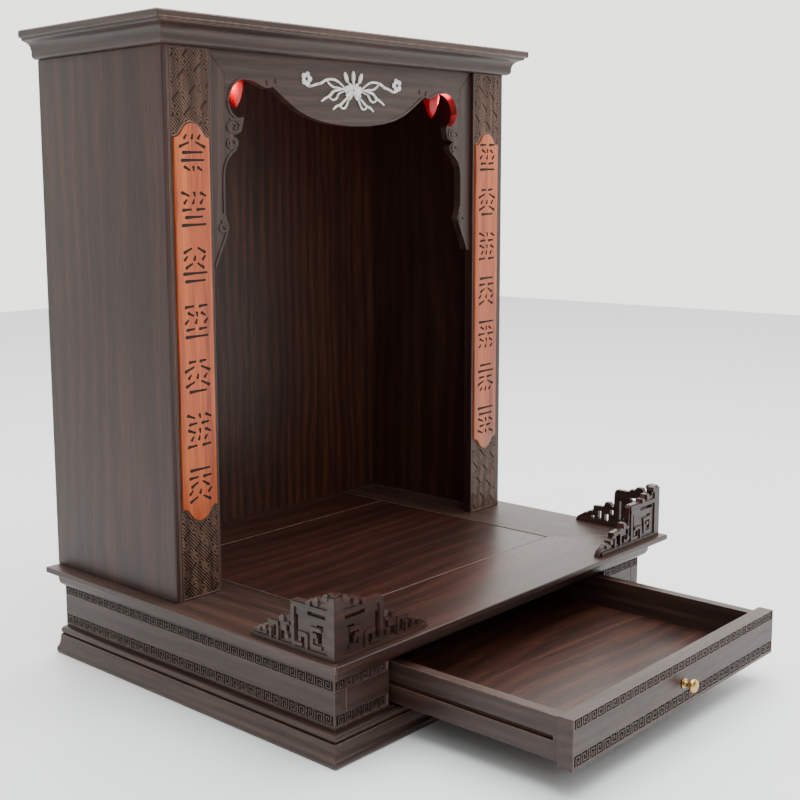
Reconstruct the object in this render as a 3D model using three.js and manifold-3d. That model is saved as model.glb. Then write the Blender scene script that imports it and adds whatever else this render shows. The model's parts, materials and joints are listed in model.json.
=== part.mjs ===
// Household altar cabinet: an open niche on a low base with one drawer.
// Millimetres. +X is the cabinet's right, +Y its back, +Z up, and the floor is z = 0.
// The origin is the centre of the base's underside. The drawer stands part open.
import * as THREE from 'three';
import Module from 'manifold-3d';
import { mergeVertices } from 'three/addons/utils/BufferGeometryUtils.js';

const wasm = await Module();
wasm.setup();

// ---- driving dimensions ----
const GAP = 0.3;                 // between pieces that touch
const LEDGE_WIDTH = 610;         // the ledge, over its moulded edge
const LEDGE_DEPTH = 470;
const LEDGE_TOP = 107.3;
const FRIEZE_TOP = 80;
const FRIEZE_INSET = 26;         // the frieze stands this far inside the ledge's edge
const FRIEZE_BOTTOM = 29.5;      // top of the plinth moulding
const BOARD = 16;                // frieze boards
const HALF = LEDGE_WIDTH / 2;
const FRONT = -LEDGE_DEPTH / 2;
const BACK = LEDGE_DEPTH / 2;
const FRIEZE_X = HALF - FRIEZE_INSET;
const FRIEZE_Y = FRONT + FRIEZE_INSET;

const NICHE_X = 287;             // half width of the niche, outside
const NICHE_Y = 14.6;            // front plane of the pillars
const NICHE_TOP = 690;           // the crown starts here
const CROWN_TOP = 721;
const SIDE_BOARD = 22;
const BACK_BOARD = 9;
const CEILING = 12;
const BOTTOM_BOARD = 10;

// ---- drawer ----
const OPENING_X = 200;           // half width of the drawer's opening
const DRAWER_OPEN = 215;         // how far the drawer stands out
const DRAWER_X = 199;            // half width of the drawer's front
const DRAWER_FRONT = 16.5;       // its thickness
const DRAWER_DEPTH = 380;        // front face to back
const DRAWER_BOTTOM = 30.1;
const DRAWER_TOP = 78.8;
const DRAWER_SIDE = 12;
const SIDE_INSET = 5;            // the box is narrower than its front
const BOX_X = DRAWER_X - SIDE_INSET;
const SIDE_LOW = 32.5;
const SIDE_HIGH = 75.5;
const TRAY = 6;                  // the drawer's bottom board
const GROOVE_LOW = 51;           // side groove that rides on the runner
const GROOVE_HIGH = 56;
const GROOVE_DEPTH = 5;
const GROOVE_STOP = 8;           // the groove ends this far behind the front
const RUNNER_CLEAR = 0.6;        // round the tongue in its groove
const RUNNER_AIR = 1.5;          // between the drawer's side and the runner's block
const RUNNER_SETBACK = 2;        // behind the closed drawer's front

// ---- carved key bands, as z ranges, and how deep they are sunk ----
const BANDS = [[33.5, 44], [69.3, 78.2]];
const BAND_DEPTH = 1.5;
const BAND_END = 2.5;            // plain wood left at the end of a band

// ---- pillars and plaques ----
const PILLAR_IN = 224;
const PILLAR_OUT = 280.6;
const PILLAR_THICK = 12;
const FIELD_IN = 227;            // the sunken field on a pillar
const FIELD_OUT = 277;
const FIELD_DEPTH = 2;
const FIELD_MARGIN = 2;
const PLAQUE_HALF = 23.6;
const PLAQUE_LOW = 193;
const PLAQUE_HIGH = 613.5;
const PLAQUE_SHOULDER = 15;      // height of the bracket-shaped end
const PLAQUE_THICK = 3.4;

// ---- valance, brackets and lamps ----
const VALANCE_Y = NICHE_Y + 5;
const VALANCE_THICK = 9;
const STILE_IN = 200;            // where the bracket's stile meets the valance
const MITRE_DROP = 24;
const ARCH_X = 170;
const ARCH_Z = 637;
const ARCH_R = 24.5;
const BEAD = 2.6;                // width of the raised bead along the carved edges
const BEAD_PROUD = 1;
const LAMP_X = 168;
const LAMP_Y = VALANCE_Y + 19.5;

// ---- corner rails ----
const RAIL_INSET = 8;            // from the ledge's edge
const RAIL_THICK = 8;
const RAIL_RELIEF = 1.6;         // how far the bars stand proud of the ground
const WING_FRONT = 1.06;         // length scale of the wing along the front
const WING_SIDE = 0.9;

// ---- materials ----
const look = (color, roughness, metalness = 0) =>
  () => new THREE.MeshStandardMaterial({ color, roughness, metalness });
const darkWood = look(0x3a2724, 0.42);
const innerWood = look(0x4a2a24, 0.5);
const plaqueWood = look(0xbf5f2c, 0.45);
const pearl = look(0xd9d6cb, 0.3, 0.2);
const brass = look(0xa98a52, 0.3, 1);
const redGlass = look(0xc01018, 0.15);
const blackPlastic = look(0x17130f, 0.5);

const cabinet = new THREE.Group();

// ---- shapes ----
function board(x0, x1, y0, y1, z0, z1) {
  const box = new THREE.BoxGeometry(x1 - x0, y1 - y0, z1 - z0);
  return box.translate((x0 + x1) / 2, (y0 + y1) / 2, (z0 + z1) / 2);
}

function polygon(points) {
  return new THREE.Shape(points.map(([x, y]) => new THREE.Vector2(x, y)));
}

function extrude(shape, depth, curveSegments = 6) {
  return new THREE.ExtrudeGeometry(shape, { depth, bevelEnabled: false, curveSegments });
}

// A section drawn in x and z, run from y0 back to y1.
function alongY(shape, y0, y1, curveSegments) {
  const geometry = extrude(shape, y1 - y0, curveSegments);
  return geometry.rotateX(Math.PI / 2).translate(0, y1, 0);
}

// A section drawn in y and z, run from x0 to x1.
function alongX(shape, x0, x1, curveSegments) {
  const turn = new THREE.Matrix4().makeBasis(
    new THREE.Vector3(0, 1, 0), new THREE.Vector3(0, 0, 1), new THREE.Vector3(1, 0, 0));
  return extrude(shape, x1 - x0, curveSegments).applyMatrix4(turn).translate(x0, 0, 0);
}

// An outline in x and y, raised from z0 to z1.
function alongZ(shape, z0, z1, curveSegments) {
  return extrude(shape, z1 - z0, curveSegments).translate(0, 0, z0);
}

// ---- joining and cutting ----
function solid(geometry) {
  const bare = geometry.clone();
  bare.deleteAttribute('normal');
  bare.deleteAttribute('uv');
  const merged = mergeVertices(bare, 1e-4);
  return new wasm.Manifold(new wasm.Mesh({
    numProp: 3,
    vertProperties: new Float32Array(merged.attributes.position.array),
    triVerts: new Uint32Array(merged.index.array),
  }));
}

function geometryOf(manifold) {
  const mesh = manifold.getMesh();
  const geometry = new THREE.BufferGeometry();
  geometry.setAttribute('position', new THREE.BufferAttribute(mesh.vertProperties, 3));
  geometry.setIndex(new THREE.BufferAttribute(mesh.triVerts, 1));
  return geometry;
}

function cut(base, ...tools) {
  return geometryOf(tools.reduce((rest, tool) => rest.subtract(solid(tool)), solid(base)));
}

function join(first, ...others) {
  return geometryOf(others.reduce((sum, other) => sum.add(solid(other)), solid(first)));
}

function common(first, second) {
  return geometryOf(solid(first).intersect(solid(second)));
}

// The mirror image in x keeps its faces pointing out by turning each triangle round.
function mirrored(geometry) {
  const flipped = geometry.index ? geometry.toNonIndexed() : geometry.clone();
  flipped.scale(-1, 1, 1);
  const positions = flipped.attributes.position;
  const first = new THREE.Vector3();
  const last = new THREE.Vector3();
  for (let i = 0; i < positions.count; i += 3) {
    first.fromBufferAttribute(positions, i);
    last.fromBufferAttribute(positions, i + 2);
    positions.setXYZ(i, last.x, last.y, last.z);
    positions.setXYZ(i + 2, first.x, first.y, first.z);
  }
  return flipped;
}

function add(name, geometry, material) {
  const mesh = new THREE.Mesh(geometry, material());
  mesh.name = name;
  cabinet.add(mesh);
}

function addPair(name, rightHand, material) {
  add(`${name}_right`, rightHand, material);
  add(`${name}_left`, mirrored(rightHand), material);
}

// ---- mouldings ----
// A profile is a path of [overhang, z] from its top to its bottom. The block has it on the
// front and both sides, with mitred corners, and is flat at the back.
function mouldedBlock(profile, halfWidth, front) {
  const right = profile.map(([over, z]) => [halfWidth + over, z]);
  const left = profile.map(([over, z]) => [-halfWidth - over, z]).reverse();
  const nose = profile.map(([over, z]) => [front - over, z]);
  const across = alongY(polygon([...right, ...left]), front - 2 * LEDGE_WIDTH, BACK);
  const bottom = profile.at(-1)[1];
  const top = profile[0][1];
  const alongDepth = alongX(
    polygon([...nose, [BACK + 1, bottom], [BACK + 1, top]]), -LEDGE_WIDTH, LEDGE_WIDTH);
  return common(across, alongDepth);
}

function profilePoints(draw, divisions = 4) {
  const path = new THREE.Path();
  draw(path);
  return path.getPoints(divisions).map((point) => [point.x, point.y]);
}

// Keeps the strip of a moulded block on one side, cut at 45 degrees at the front corner.
// cornerX and cornerY are where the mitre line starts, inside the ring.
function mitredStrip(block, side, innerX, innerY, z0, z1) {
  const far = 2 * LEDGE_WIDTH;
  const slack = GAP * Math.SQRT1_2;
  const frontPlan = [
    [-innerX + slack, innerY], [innerX - slack, innerY],
    [innerX - slack + far, innerY - far], [-innerX + slack - far, innerY - far],
  ];
  const sidePlan = [
    [innerX, innerY + slack], [innerX, BACK], [innerX + far, BACK],
    [innerX + far, innerY + slack - far],
  ];
  const plan = side === 'front' ? frontPlan : sidePlan;
  return common(block, alongZ(polygon(plan), z0 - 1, z1 + 1));
}

function addMouldedStrips(name, profile, halfWidth, front, innerX, innerY) {
  const block = mouldedBlock(profile, halfWidth, front);
  const z0 = profile.at(-1)[1];
  const z1 = profile[0][1];
  add(`${name}_front`, mitredStrip(block, 'front', innerX, innerY, z0, z1), darkWood);
  addPair(name, mitredStrip(block, 'side', innerX, innerY, z0, z1), darkWood);
}

// ---- base ----
const plinthProfile = profilePoints((path) => {
  path.moveTo(0.4, FRIEZE_BOTTOM);
  path.lineTo(3, FRIEZE_BOTTOM);
  path.quadraticCurveTo(8.6, 29, 8.6, 25.4);
  path.quadraticCurveTo(8.4, 22.4, 5.6, 21.8);
  path.lineTo(9.2, 20.9);
  path.lineTo(9.4, 19.4);
  path.quadraticCurveTo(9.8, 9.5, 14.2, 7);
  path.quadraticCurveTo(16.2, 5.6, 15.8, 2);
  path.lineTo(14.4, 0);
});

// Two sunken bands on a face. The tool boxes reach BAND_DEPTH into the board.
function bandTools(x0, x1, y0, y1) {
  return BANDS.map(([low, high]) => board(x0, x1, y0, y1, low, high));
}

function addBase() {
  addMouldedStrips('plinth_moulding', plinthProfile, FRIEZE_X, FRIEZE_Y,
    FRIEZE_X + GAP, FRIEZE_Y - GAP);
  const sidePanel = board(FRIEZE_X - BOARD, FRIEZE_X, FRIEZE_Y, BACK, 0, FRIEZE_TOP);
  const sideBands = bandTools(FRIEZE_X - BAND_DEPTH, FRIEZE_X + 1,
    FRIEZE_Y + BAND_END, BACK - BAND_END);
  const cornerBands = bandTools(FRIEZE_X - BOARD - 1, FRIEZE_X - BAND_END,
    FRIEZE_Y - 1, FRIEZE_Y + BAND_DEPTH);
  addPair('base_side', cut(sidePanel, ...sideBands, ...cornerBands), darkWood);

  const stile = board(OPENING_X, FRIEZE_X - BOARD - GAP, FRIEZE_Y, FRIEZE_Y + BOARD,
    0, FRIEZE_TOP);
  const stileBands = bandTools(OPENING_X + BAND_END, FRIEZE_X - BOARD,
    FRIEZE_Y - 1, FRIEZE_Y + BAND_DEPTH);
  addPair('front_stile', cut(stile, ...stileBands), darkWood);

  add('front_rail', board(-OPENING_X + GAP, OPENING_X - GAP, FRIEZE_Y, FRIEZE_Y + BOARD,
    0, FRIEZE_BOTTOM), darkWood);
  const inside = FRIEZE_X - BOARD - GAP;
  add('base_back', board(-inside, inside, BACK - BOARD, BACK, 0, FRIEZE_TOP), darkWood);
  add('bottom_board', board(-inside, inside, FRIEZE_Y + BOARD + GAP, BACK - BOARD - GAP,
    0, BOTTOM_BOARD), innerWood);
  const bearerFront = FRIEZE_Y + DRAWER_FRONT + RUNNER_SETBACK;
  const bearerBack = BACK - BOARD - GAP;
  const bearer = board(BOX_X + RUNNER_AIR, inside, bearerFront, bearerBack,
    BOTTOM_BOARD + GAP, GROOVE_HIGH + 6);
  const tongue = board(BOX_X - GROOVE_DEPTH + RUNNER_CLEAR, BOX_X + RUNNER_AIR + 1,
    bearerFront + GROOVE_STOP, bearerBack,
    GROOVE_LOW + RUNNER_CLEAR, GROOVE_HIGH - RUNNER_CLEAR);
  addPair('drawer_runner', join(bearer, tongue), innerWood);
}

// ---- ledge ----
const ledgeProfile = profilePoints((path) => {
  path.moveTo(24.6, LEDGE_TOP);
  path.quadraticCurveTo(26, LEDGE_TOP, 26, LEDGE_TOP - 1.4);
  path.lineTo(26, LEDGE_TOP - 5);
  path.quadraticCurveTo(26, LEDGE_TOP - 6.8, 24, LEDGE_TOP - 6.8);
  path.lineTo(15.5, LEDGE_TOP - 8.4);
  path.lineTo(15, LEDGE_TOP - 10.4);
  path.quadraticCurveTo(9.6, 96.2, 9, 88.6);
  path.quadraticCurveTo(8, 81.6, 1.6, FRIEZE_TOP + GAP);
}, 5);
const PANEL_X = 196;             // the ledge's centre panel
const PANEL_FRONT = -128;
const PANEL_BACK = 150;
const PANEL_THICK = 12;
const PANEL_GROOVE = 1.2;        // the open joint round the panel

function addLedge() {
  const block = mouldedBlock(ledgeProfile, FRIEZE_X, FRIEZE_Y);
  const z0 = FRIEZE_TOP;
  const z1 = LEDGE_TOP;
  const seat = board(-PANEL_X - 10, PANEL_X + 10, PANEL_FRONT - 10, PANEL_BACK + 10,
    z0 - 1, z1 - PANEL_THICK);
  const grooved = cut(block, seat);
  add('ledge_front', mitredStrip(grooved, 'front', PANEL_X, PANEL_FRONT, z0, z1), darkWood);
  const side = mitredStrip(grooved, 'side', PANEL_X, PANEL_FRONT, z0, z1);
  addPair('ledge_side', side, darkWood);
  add('ledge_back', board(-PANEL_X + GAP, PANEL_X - GAP, PANEL_BACK, BACK,
    z1 - PANEL_THICK - 8, z1), darkWood);
  add('ledge_panel', board(-PANEL_X + PANEL_GROOVE, PANEL_X - PANEL_GROOVE,
    PANEL_FRONT + PANEL_GROOVE, PANEL_BACK - PANEL_GROOVE,
    z1 - PANEL_THICK, z1 - 0.4), darkWood);
}

// ---- niche ----
const sidePlan = (() => {
  const shape = new THREE.Shape();
  const tongue = PILLAR_OUT + GAP;
  const step = NICHE_Y + PILLAR_THICK + GAP;
  const round = 2.4;
  shape.moveTo(tongue, NICHE_Y + 0.6);
  shape.lineTo(tongue + 0.6, NICHE_Y);
  shape.lineTo(NICHE_X - round, NICHE_Y);
  shape.quadraticCurveTo(NICHE_X, NICHE_Y, NICHE_X, NICHE_Y + round);
  shape.lineTo(NICHE_X, BACK);
  shape.lineTo(NICHE_X - SIDE_BOARD, BACK);
  shape.lineTo(NICHE_X - SIDE_BOARD, step);
  shape.lineTo(tongue, step);
  return shape;
})();

function addNiche() {
  const floor = LEDGE_TOP + GAP;
  addPair('niche_side', alongZ(sidePlan, floor, NICHE_TOP), darkWood);
  const inside = NICHE_X - SIDE_BOARD - GAP;
  add('niche_back', board(-inside, inside, BACK - BACK_BOARD, BACK, floor, NICHE_TOP),
    innerWood);
  add('niche_ceiling', board(-inside, inside, VALANCE_Y + VALANCE_THICK + GAP,
    BACK - BACK_BOARD - GAP, NICHE_TOP - CEILING, NICHE_TOP), innerWood);
}

// ---- crown ----
const crownProfile = profilePoints((path) => {
  path.moveTo(22.6, CROWN_TOP);
  path.lineTo(24, CROWN_TOP - 1.4);
  path.lineTo(24, CROWN_TOP - 7.2);
  path.lineTo(22.8, CROWN_TOP - 8.4);
  path.lineTo(20.4, CROWN_TOP - 8.8);
  path.quadraticCurveTo(20.6, CROWN_TOP - 11.4, 17.4, CROWN_TOP - 12);
  path.lineTo(16, CROWN_TOP - 12.6);
  path.quadraticCurveTo(8.4, CROWN_TOP - 14.4, 7.8, CROWN_TOP - 23.6);
  path.quadraticCurveTo(8.8, CROWN_TOP - 29.4, 3.4, NICHE_TOP + GAP);
}, 5);
const CROWN_IN_X = 257;
const CROWN_IN_Y = 44;
const TOP_BOARD = 16;

function addCrown() {
  addMouldedStrips('crown_moulding', crownProfile, NICHE_X, NICHE_Y, CROWN_IN_X, CROWN_IN_Y);
  const inside = CROWN_IN_X - GAP;
  add('top_board', board(-inside, inside, CROWN_IN_Y + GAP, BACK,
    CROWN_TOP - TOP_BOARD, CROWN_TOP - 0.5), darkWood);
  add('crown_back_rail', board(-inside, inside, BACK - 30, BACK,
    NICHE_TOP + GAP, CROWN_TOP - TOP_BOARD - GAP), darkWood);
}

// ---- pillars and plaques ----
const PILLAR_MID = (FIELD_IN + FIELD_OUT) / 2;

// The plaque's outline ends in a bracket shape: a round middle between two hollow shoulders.
function plaqueOutline(grow) {
  const half = PLAQUE_HALF + grow;
  const high = PLAQUE_HIGH + grow;
  const low = PLAQUE_LOW - grow;
  const shape = new THREE.Shape();
  const mid = PILLAR_MID;
  const step = PLAQUE_SHOULDER;
  shape.moveTo(mid - half, low + step);
  shape.quadraticCurveTo(mid - half * 0.72, low + step, mid - half * 0.6, low + step * 0.62);
  shape.quadraticCurveTo(mid - half * 0.34, low, mid, low);
  shape.quadraticCurveTo(mid + half * 0.34, low, mid + half * 0.6, low + step * 0.62);
  shape.quadraticCurveTo(mid + half * 0.72, low + step, mid + half, low + step);
  shape.lineTo(mid + half, high - step);
  shape.quadraticCurveTo(mid + half * 0.72, high - step, mid + half * 0.6, high - step * 0.62);
  shape.quadraticCurveTo(mid + half * 0.34, high, mid, high);
  shape.quadraticCurveTo(mid - half * 0.34, high, mid - half * 0.6, high - step * 0.62);
  shape.quadraticCurveTo(mid - half * 0.72, high - step, mid - half, high - step);
  return shape;
}

function addPillars() {
  const z0 = LEDGE_TOP + GAP;
  const body = board(PILLAR_IN, PILLAR_OUT, NICHE_Y, NICHE_Y + PILLAR_THICK, z0,
    NICHE_TOP);
  const field = board(FIELD_IN, FIELD_OUT, NICHE_Y - 1, NICHE_Y + FIELD_DEPTH,
    z0 + FIELD_MARGIN, NICHE_TOP - FIELD_MARGIN);
  addPair('pillar', cut(body, field), darkWood);
  const back = NICHE_Y + FIELD_DEPTH - GAP;
  addPair('plaque', alongY(plaqueOutline(0), back - PLAQUE_THICK, back, 3), plaqueWood);
}

// ---- valance ----
// Half of the shaped lower edge, from the middle outwards: a wide scallop, a pointed hook,
// then a round arch that ends on the bracket's stile.
function halfEdge() {
  const path = new THREE.Path();
  path.moveTo(0, 616.5);
  path.bezierCurveTo(48, 616.5, 84, 624, 108, 641);
  path.quadraticCurveTo(120, 649, 130, 655.5);
  path.lineTo(136, 654);
  path.bezierCurveTo(146, 652, 152, ARCH_Z + ARCH_R, ARCH_X, ARCH_Z + ARCH_R);
  path.absarc(ARCH_X, ARCH_Z, ARCH_R, Math.PI / 2, 0, true);
  return path.getPoints(5).map((point) => [point.x, point.y]);
}

const flip = (points) => points.map(([x, z]) => [-x, z]);

function addValance() {
  const edge = halfEdge();
  const stile = STILE_IN - GAP / 2;
  const corner = [[stile, ARCH_Z], [stile, NICHE_TOP - MITRE_DROP],
    [stile + MITRE_DROP - 1, NICHE_TOP - 1], [stile + MITRE_DROP - 1, NICHE_TOP]];
  const half = [...edge, ...corner];
  const outline = polygon([...half, ...flip(half.slice(1)).reverse()]);
  const plate = alongY(outline, VALANCE_Y, VALANCE_Y + VALANCE_THICK);
  const raised = alongY(outline, VALANCE_Y - BEAD_PROUD, VALANCE_Y + VALANCE_THICK);
  const beads = [];
  for (const turn of [(points) => points, flip]) {
    const line = ribbon(turn(edge), 2 * BEAD, 20);
    beads.push(common(alongY(line, VALANCE_Y - BEAD_PROUD, VALANCE_Y + 2), raised));
    for (const [x, z, r] of [[123, 662, 3], [136, 660, 3.4]]) {
      const dot = oval([turn([[x, z]])[0][0], z, r, r], 8);
      beads.push(alongY(dot, VALANCE_Y - BEAD_PROUD, VALANCE_Y + 2));
    }
  }
  add('valance', join(plate, ...beads), darkWood);
}

// ---- brackets: a stile that ends below in carved volutes, on each side ----
const VOLUTES = [
  { at: [189.5, 611.5, 13.5, 9.3], start: 0.2, turns: 1.5 },   // centre x, z, half sizes
  { at: [190.8, 594, 9.8, 7.4], start: -0.3, turns: 1.4 },
  { at: [206, 505, 8.8, 7.8], start: 1.2, turns: 1.4 },
];
const ARM_X = 202.6;             // the arm's inner edge
const TAIL = 463;

function oval([x, z, a, b], count = 14) {
  const points = [];
  for (let i = 0; i < count; i += 1) {
    const angle = (i / count) * 2 * Math.PI;
    points.push([x + a * Math.cos(angle), z + b * Math.sin(angle)]);
  }
  return polygon(points);
}

// A spiral that winds inwards from an oval's rim.
function spiral({ at: [x, z, a, b], start, turns }, width) {
  const points = [];
  const count = 14;
  for (let i = 0; i <= count; i += 1) {
    const angle = (start + (i / count) * turns) * 2 * Math.PI;
    const reach = 1 - 0.58 * (i / count);
    points.push([x + (a * reach - width / 2) * Math.cos(angle),
      z + (b * reach - width / 2) * Math.sin(angle)]);
  }
  return ribbon(points, width, 13);
}

// The arm's carved inner edge, from the arch down past the volutes to the tail.
const armEdge = [[195, 637], [191, 626], [181, 619.5], [173, 620.5]];
const armLine = [[184, 588], [194, 581], [200.5, 570], [ARM_X, 556], [ARM_X, 520]];
const tailLine = [[199.5, 499], [205, 488], [211, 476], [217, TAIL]];

function addBrackets() {
  const outer = PILLAR_IN - GAP;
  const inner = STILE_IN + GAP / 2;
  const y0 = VALANCE_Y;
  const y1 = VALANCE_Y + VALANCE_THICK;
  const outline = polygon([
    [outer, NICHE_TOP - 1 - GAP], [inner, NICHE_TOP - MITRE_DROP - GAP],
    [inner, ARCH_Z - GAP], [armEdge[0][0], ARCH_Z - GAP], ...armEdge.slice(1),
    [177, 606], [188, 602], [182, 592], ...armLine, [198.5, 508], ...tailLine,
    [outer, TAIL],
  ]);
  const lobes = VOLUTES.map(({ at }) => alongY(oval(at), y0, y1));
  const scrolls = VOLUTES.map((volute) => alongY(spiral(volute, 2.8), y0 - BEAD_PROUD, y0 + 2));
  const lines = [armEdge, armLine, tailLine].map((points) => alongY(
    ribbon(points.map(([x, z]) => [x + BEAD / 2, z]), BEAD, 6), y0 - BEAD_PROUD, y0 + 2));
  const limits = board(0, outer, y0 - 2, y1 + 1, TAIL - 1, ARCH_Z - GAP);
  const carved = common(join(...lobes, ...scrolls, ...lines), limits);
  addPair('bracket', join(alongY(outline, y0, y1), carved), darkWood);
}

// ---- inlay on the valance: a boss with flames, scrolling arms and two pairs of legs ----
const INLAY_THICK = 1.2;
const BOSS = [0, 656.5, 14.5, 10.5];
const INLAY_LINES = [            // [x, z] along each ribbon on the right, and its width
  [[[12, 658], [23, 665], [33, 668.6], [46, 667.5], [54, 663.5], [63, 661.5], [72, 659],
    [79, 661], [82, 664]], 3.6],
  [[[14, 657], [25, 659.5], [34, 660], [41, 663.5], [45, 667]], 3],
  [[[16, 659], [26, 657], [34, 655], [40, 650], [47, 647], [54, 643]], 3.6],
  [[[16, 656], [25, 653], [29, 647.5], [35, 645.5], [41, 648.5]], 3],
  [[[9, 650], [16, 645], [22, 640.5], [29, 638.5], [35, 634.5]], 3.6],
  [[[8, 648], [11, 642], [15, 637], [20, 637], [24, 640]], 3],
];
const INLAY_STEPS = 5;
const ROSETTE = { x: 77.5, z: 667, ring: 5.2, lobe: 3.3, lobes: 5 };

// A ribbon of even width through some points, as one closed outline.
function ribbon(points, width, divisions = 6) {
  const curve = new THREE.SplineCurve(points.map(([x, z]) => new THREE.Vector2(x, z)));
  const near = [];
  const far = [];
  for (let i = 0; i <= divisions; i += 1) {
    const point = curve.getPoint(i / divisions);
    const tangent = curve.getTangent(i / divisions);
    near.push([point.x - tangent.y * width / 2, point.y + tangent.x * width / 2]);
    far.push([point.x + tangent.y * width / 2, point.y - tangent.x * width / 2]);
  }
  return polygon([...near, ...far.reverse()]);
}

function rosette(side) {
  const { x, z, ring, lobe, lobes } = ROSETTE;
  const shapes = [];
  for (let i = 0; i < lobes; i += 1) {
    const angle = (i / lobes + 0.1) * 2 * Math.PI;
    shapes.push(oval([side * (x + ring * Math.cos(angle)), z + ring * Math.sin(angle),
      lobe, lobe], 8));
  }
  return shapes;
}

function addInlay() {
  const [, bossZ] = BOSS;
  const flame = (x, lean, height) => polygon([[x - 2.6, bossZ + 8],
    [x - 3.2 + lean / 2, bossZ + height - 7], [x + lean, bossZ + height],
    [x + 3.2 + lean / 2, bossZ + height - 7], [x + 2.6, bossZ + 8]]);
  const shapes = [oval(BOSS, 16), flame(0, 0, 23.5)];
  for (const side of [-1, 1]) {
    shapes.push(flame(side * 9.5, side * 5.5, 21.5));
    shapes.push(...rosette(side));
    for (const [points, width] of INLAY_LINES) {
      shapes.push(ribbon(points.map(([x, z]) => [side * x, z]), width, INLAY_STEPS));
    }
  }
  const y1 = VALANCE_Y - GAP;
  const layers = shapes.map((shape) => alongY(shape, y1 - INLAY_THICK, y1));
  add('inlay_ornament', join(...layers), pearl);
}

// ---- lamps: candle-shaped bulbs that hang behind the arches ----
function lathe(points, segments = 12) {
  const profile = points.map(([r, z]) => new THREE.Vector2(r, z));
  return new THREE.LatheGeometry(profile, segments).rotateX(Math.PI / 2);
}

const BULB = [[0, 0], [2.4, 1.2], [5, 5.5], [7.8, 13], [9.7, 22], [10, 29], [8.2, 35],
  [6, 37], [0, 37]];
const BULB_TIP = 632.5;

function addLamps() {
  const socketLow = BULB_TIP + 37 + GAP;
  const bulb = lathe(BULB).translate(LAMP_X, LAMP_Y, BULB_TIP);
  addPair('bulb', bulb, redGlass);
  const socketHigh = NICHE_TOP - CEILING - GAP;
  const height = socketHigh - socketLow;
  const socket = lathe([[0, 0], [8.4, 0], [9, 1], [9, height], [0, height]]);
  addPair('lamp_socket', socket.translate(LAMP_X, LAMP_Y, socketLow), blackPlastic);
}

// ---- corner rails: fretted wings that meet in a mitre on the ledge's front corners ----
// Outline of a wing's ground board, along the wing and up. It starts below the ledge and is
// trimmed off at z = 0 with the bars.
const WING = [
  [-1, -1], [131, -1], [127, 6], [117, 11.5], [104, 14], [101, 17], [101, 23.5],
  [84, 24.5], [81, 31], [74, 31], [71, 27], [67.5, 26], [66, 47], [63, 50], [43, 50],
  [41, 53.5], [34, 53], [31, 57.5], [23, 57.5], [20, 53], [15, 54], [17, 60],
  [13, 64.5], [-1, 64.5],
];
const WING_HOLES = [             // open gaps, as low and high corners
  [[15, 38.5], [41, 42.5]], [[18, 29.5], [27, 31.5]], [[20, 13], [26, 24]],
  [[46, 7], [51, 15]], [[55, 10], [58.5, 36]], [[68, 15], [73, 22]],
  [[76, 6], [82, 15]], [[88, 7], [93, 18]], [[99.2, 6], [104, 10.5]],
];
const WING_BARS = [              // raised bars, as low and high corners
  [[-1, -1], [125, 4.6]], [[-1, -1], [11, 62]], [[10, 44], [64, 48.6]],
  [[59.5, 4], [63.4, 46]], [[48, 5.4], [62, 9]], [[39.5, 3], [43, 19.5]],
  [[41, 17], [54, 20.5]], [[20, 25], [36, 28.6]], [[31.5, 9], [35, 27.4]],
  [[19, 8], [33, 11.6]], [[84.4, 20], [100.4, 23]], [[84, 3], [87, 21]],
  [[95, 3], [98.5, 15]], [[67.2, 23], [73.4, 25.6]],
];
const WING_KNOBS = [             // round scroll ends: along, up, radius
  [13, 60.5, 3.8], [27, 53.5, 3.8], [38, 50.4, 3], [28, 21, 2.8], [78, 27.4, 3.6],
  [70.5, 11.5, 3], [106, 13.2, 3.2], [114.5, 9.8, 3],
];

// One wing in x and z, running from the corner along +x, its carved face at y = 0.
function wing(scale) {
  const along = (points) => points.map(([u, v]) => [u * scale, v]);
  const plate = (low, high, y0) => board(low[0] * scale, high[0] * scale, y0, RAIL_THICK,
    low[1], high[1]);
  const ground = alongY(polygon(along(WING)), RAIL_RELIEF, RAIL_THICK);
  const holes = WING_HOLES.map(([low, high]) => plate(low, high, -1))
    .map((hole) => hole.scale(1, 3, 1));
  const bars = WING_BARS.map(([low, high]) => plate(low, high, 0));
  const knobs = WING_KNOBS.map(([u, v, r]) => alongY(oval([u * scale, v, r, r], 8),
    -0.8, RAIL_THICK));
  const fret = join(cut(ground, ...holes), ...bars, ...knobs);
  const slack = GAP * Math.SQRT1_2;
  const mitre = polygon([[slack - 1, -1], [RAIL_THICK + slack, RAIL_THICK],
    [200, RAIL_THICK], [200, -1]]);
  return common(fret, alongZ(mitre, 0, 100));
}

function addRails() {
  const x = HALF - RAIL_INSET;
  const y = FRONT + RAIL_INSET;
  const z = LEDGE_TOP + GAP;
  const front = mirrored(wing(WING_FRONT)).translate(x, y, z);
  addPair('rail_front', front, darkWood);
  const swap = new THREE.Matrix4().makeBasis(
    new THREE.Vector3(0, 1, 0), new THREE.Vector3(-1, 0, 0), new THREE.Vector3(0, 0, 1));
  const side = wing(WING_SIDE).applyMatrix4(swap).translate(x, y, z);
  addPair('rail_side', side, darkWood);
}

// ---- drawer ----
const DRAWER_Y = FRIEZE_Y - DRAWER_OPEN;
const BOX_FRONT = DRAWER_Y + DRAWER_FRONT + GAP;
const BOX_BACK = DRAWER_Y + DRAWER_DEPTH;

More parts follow.
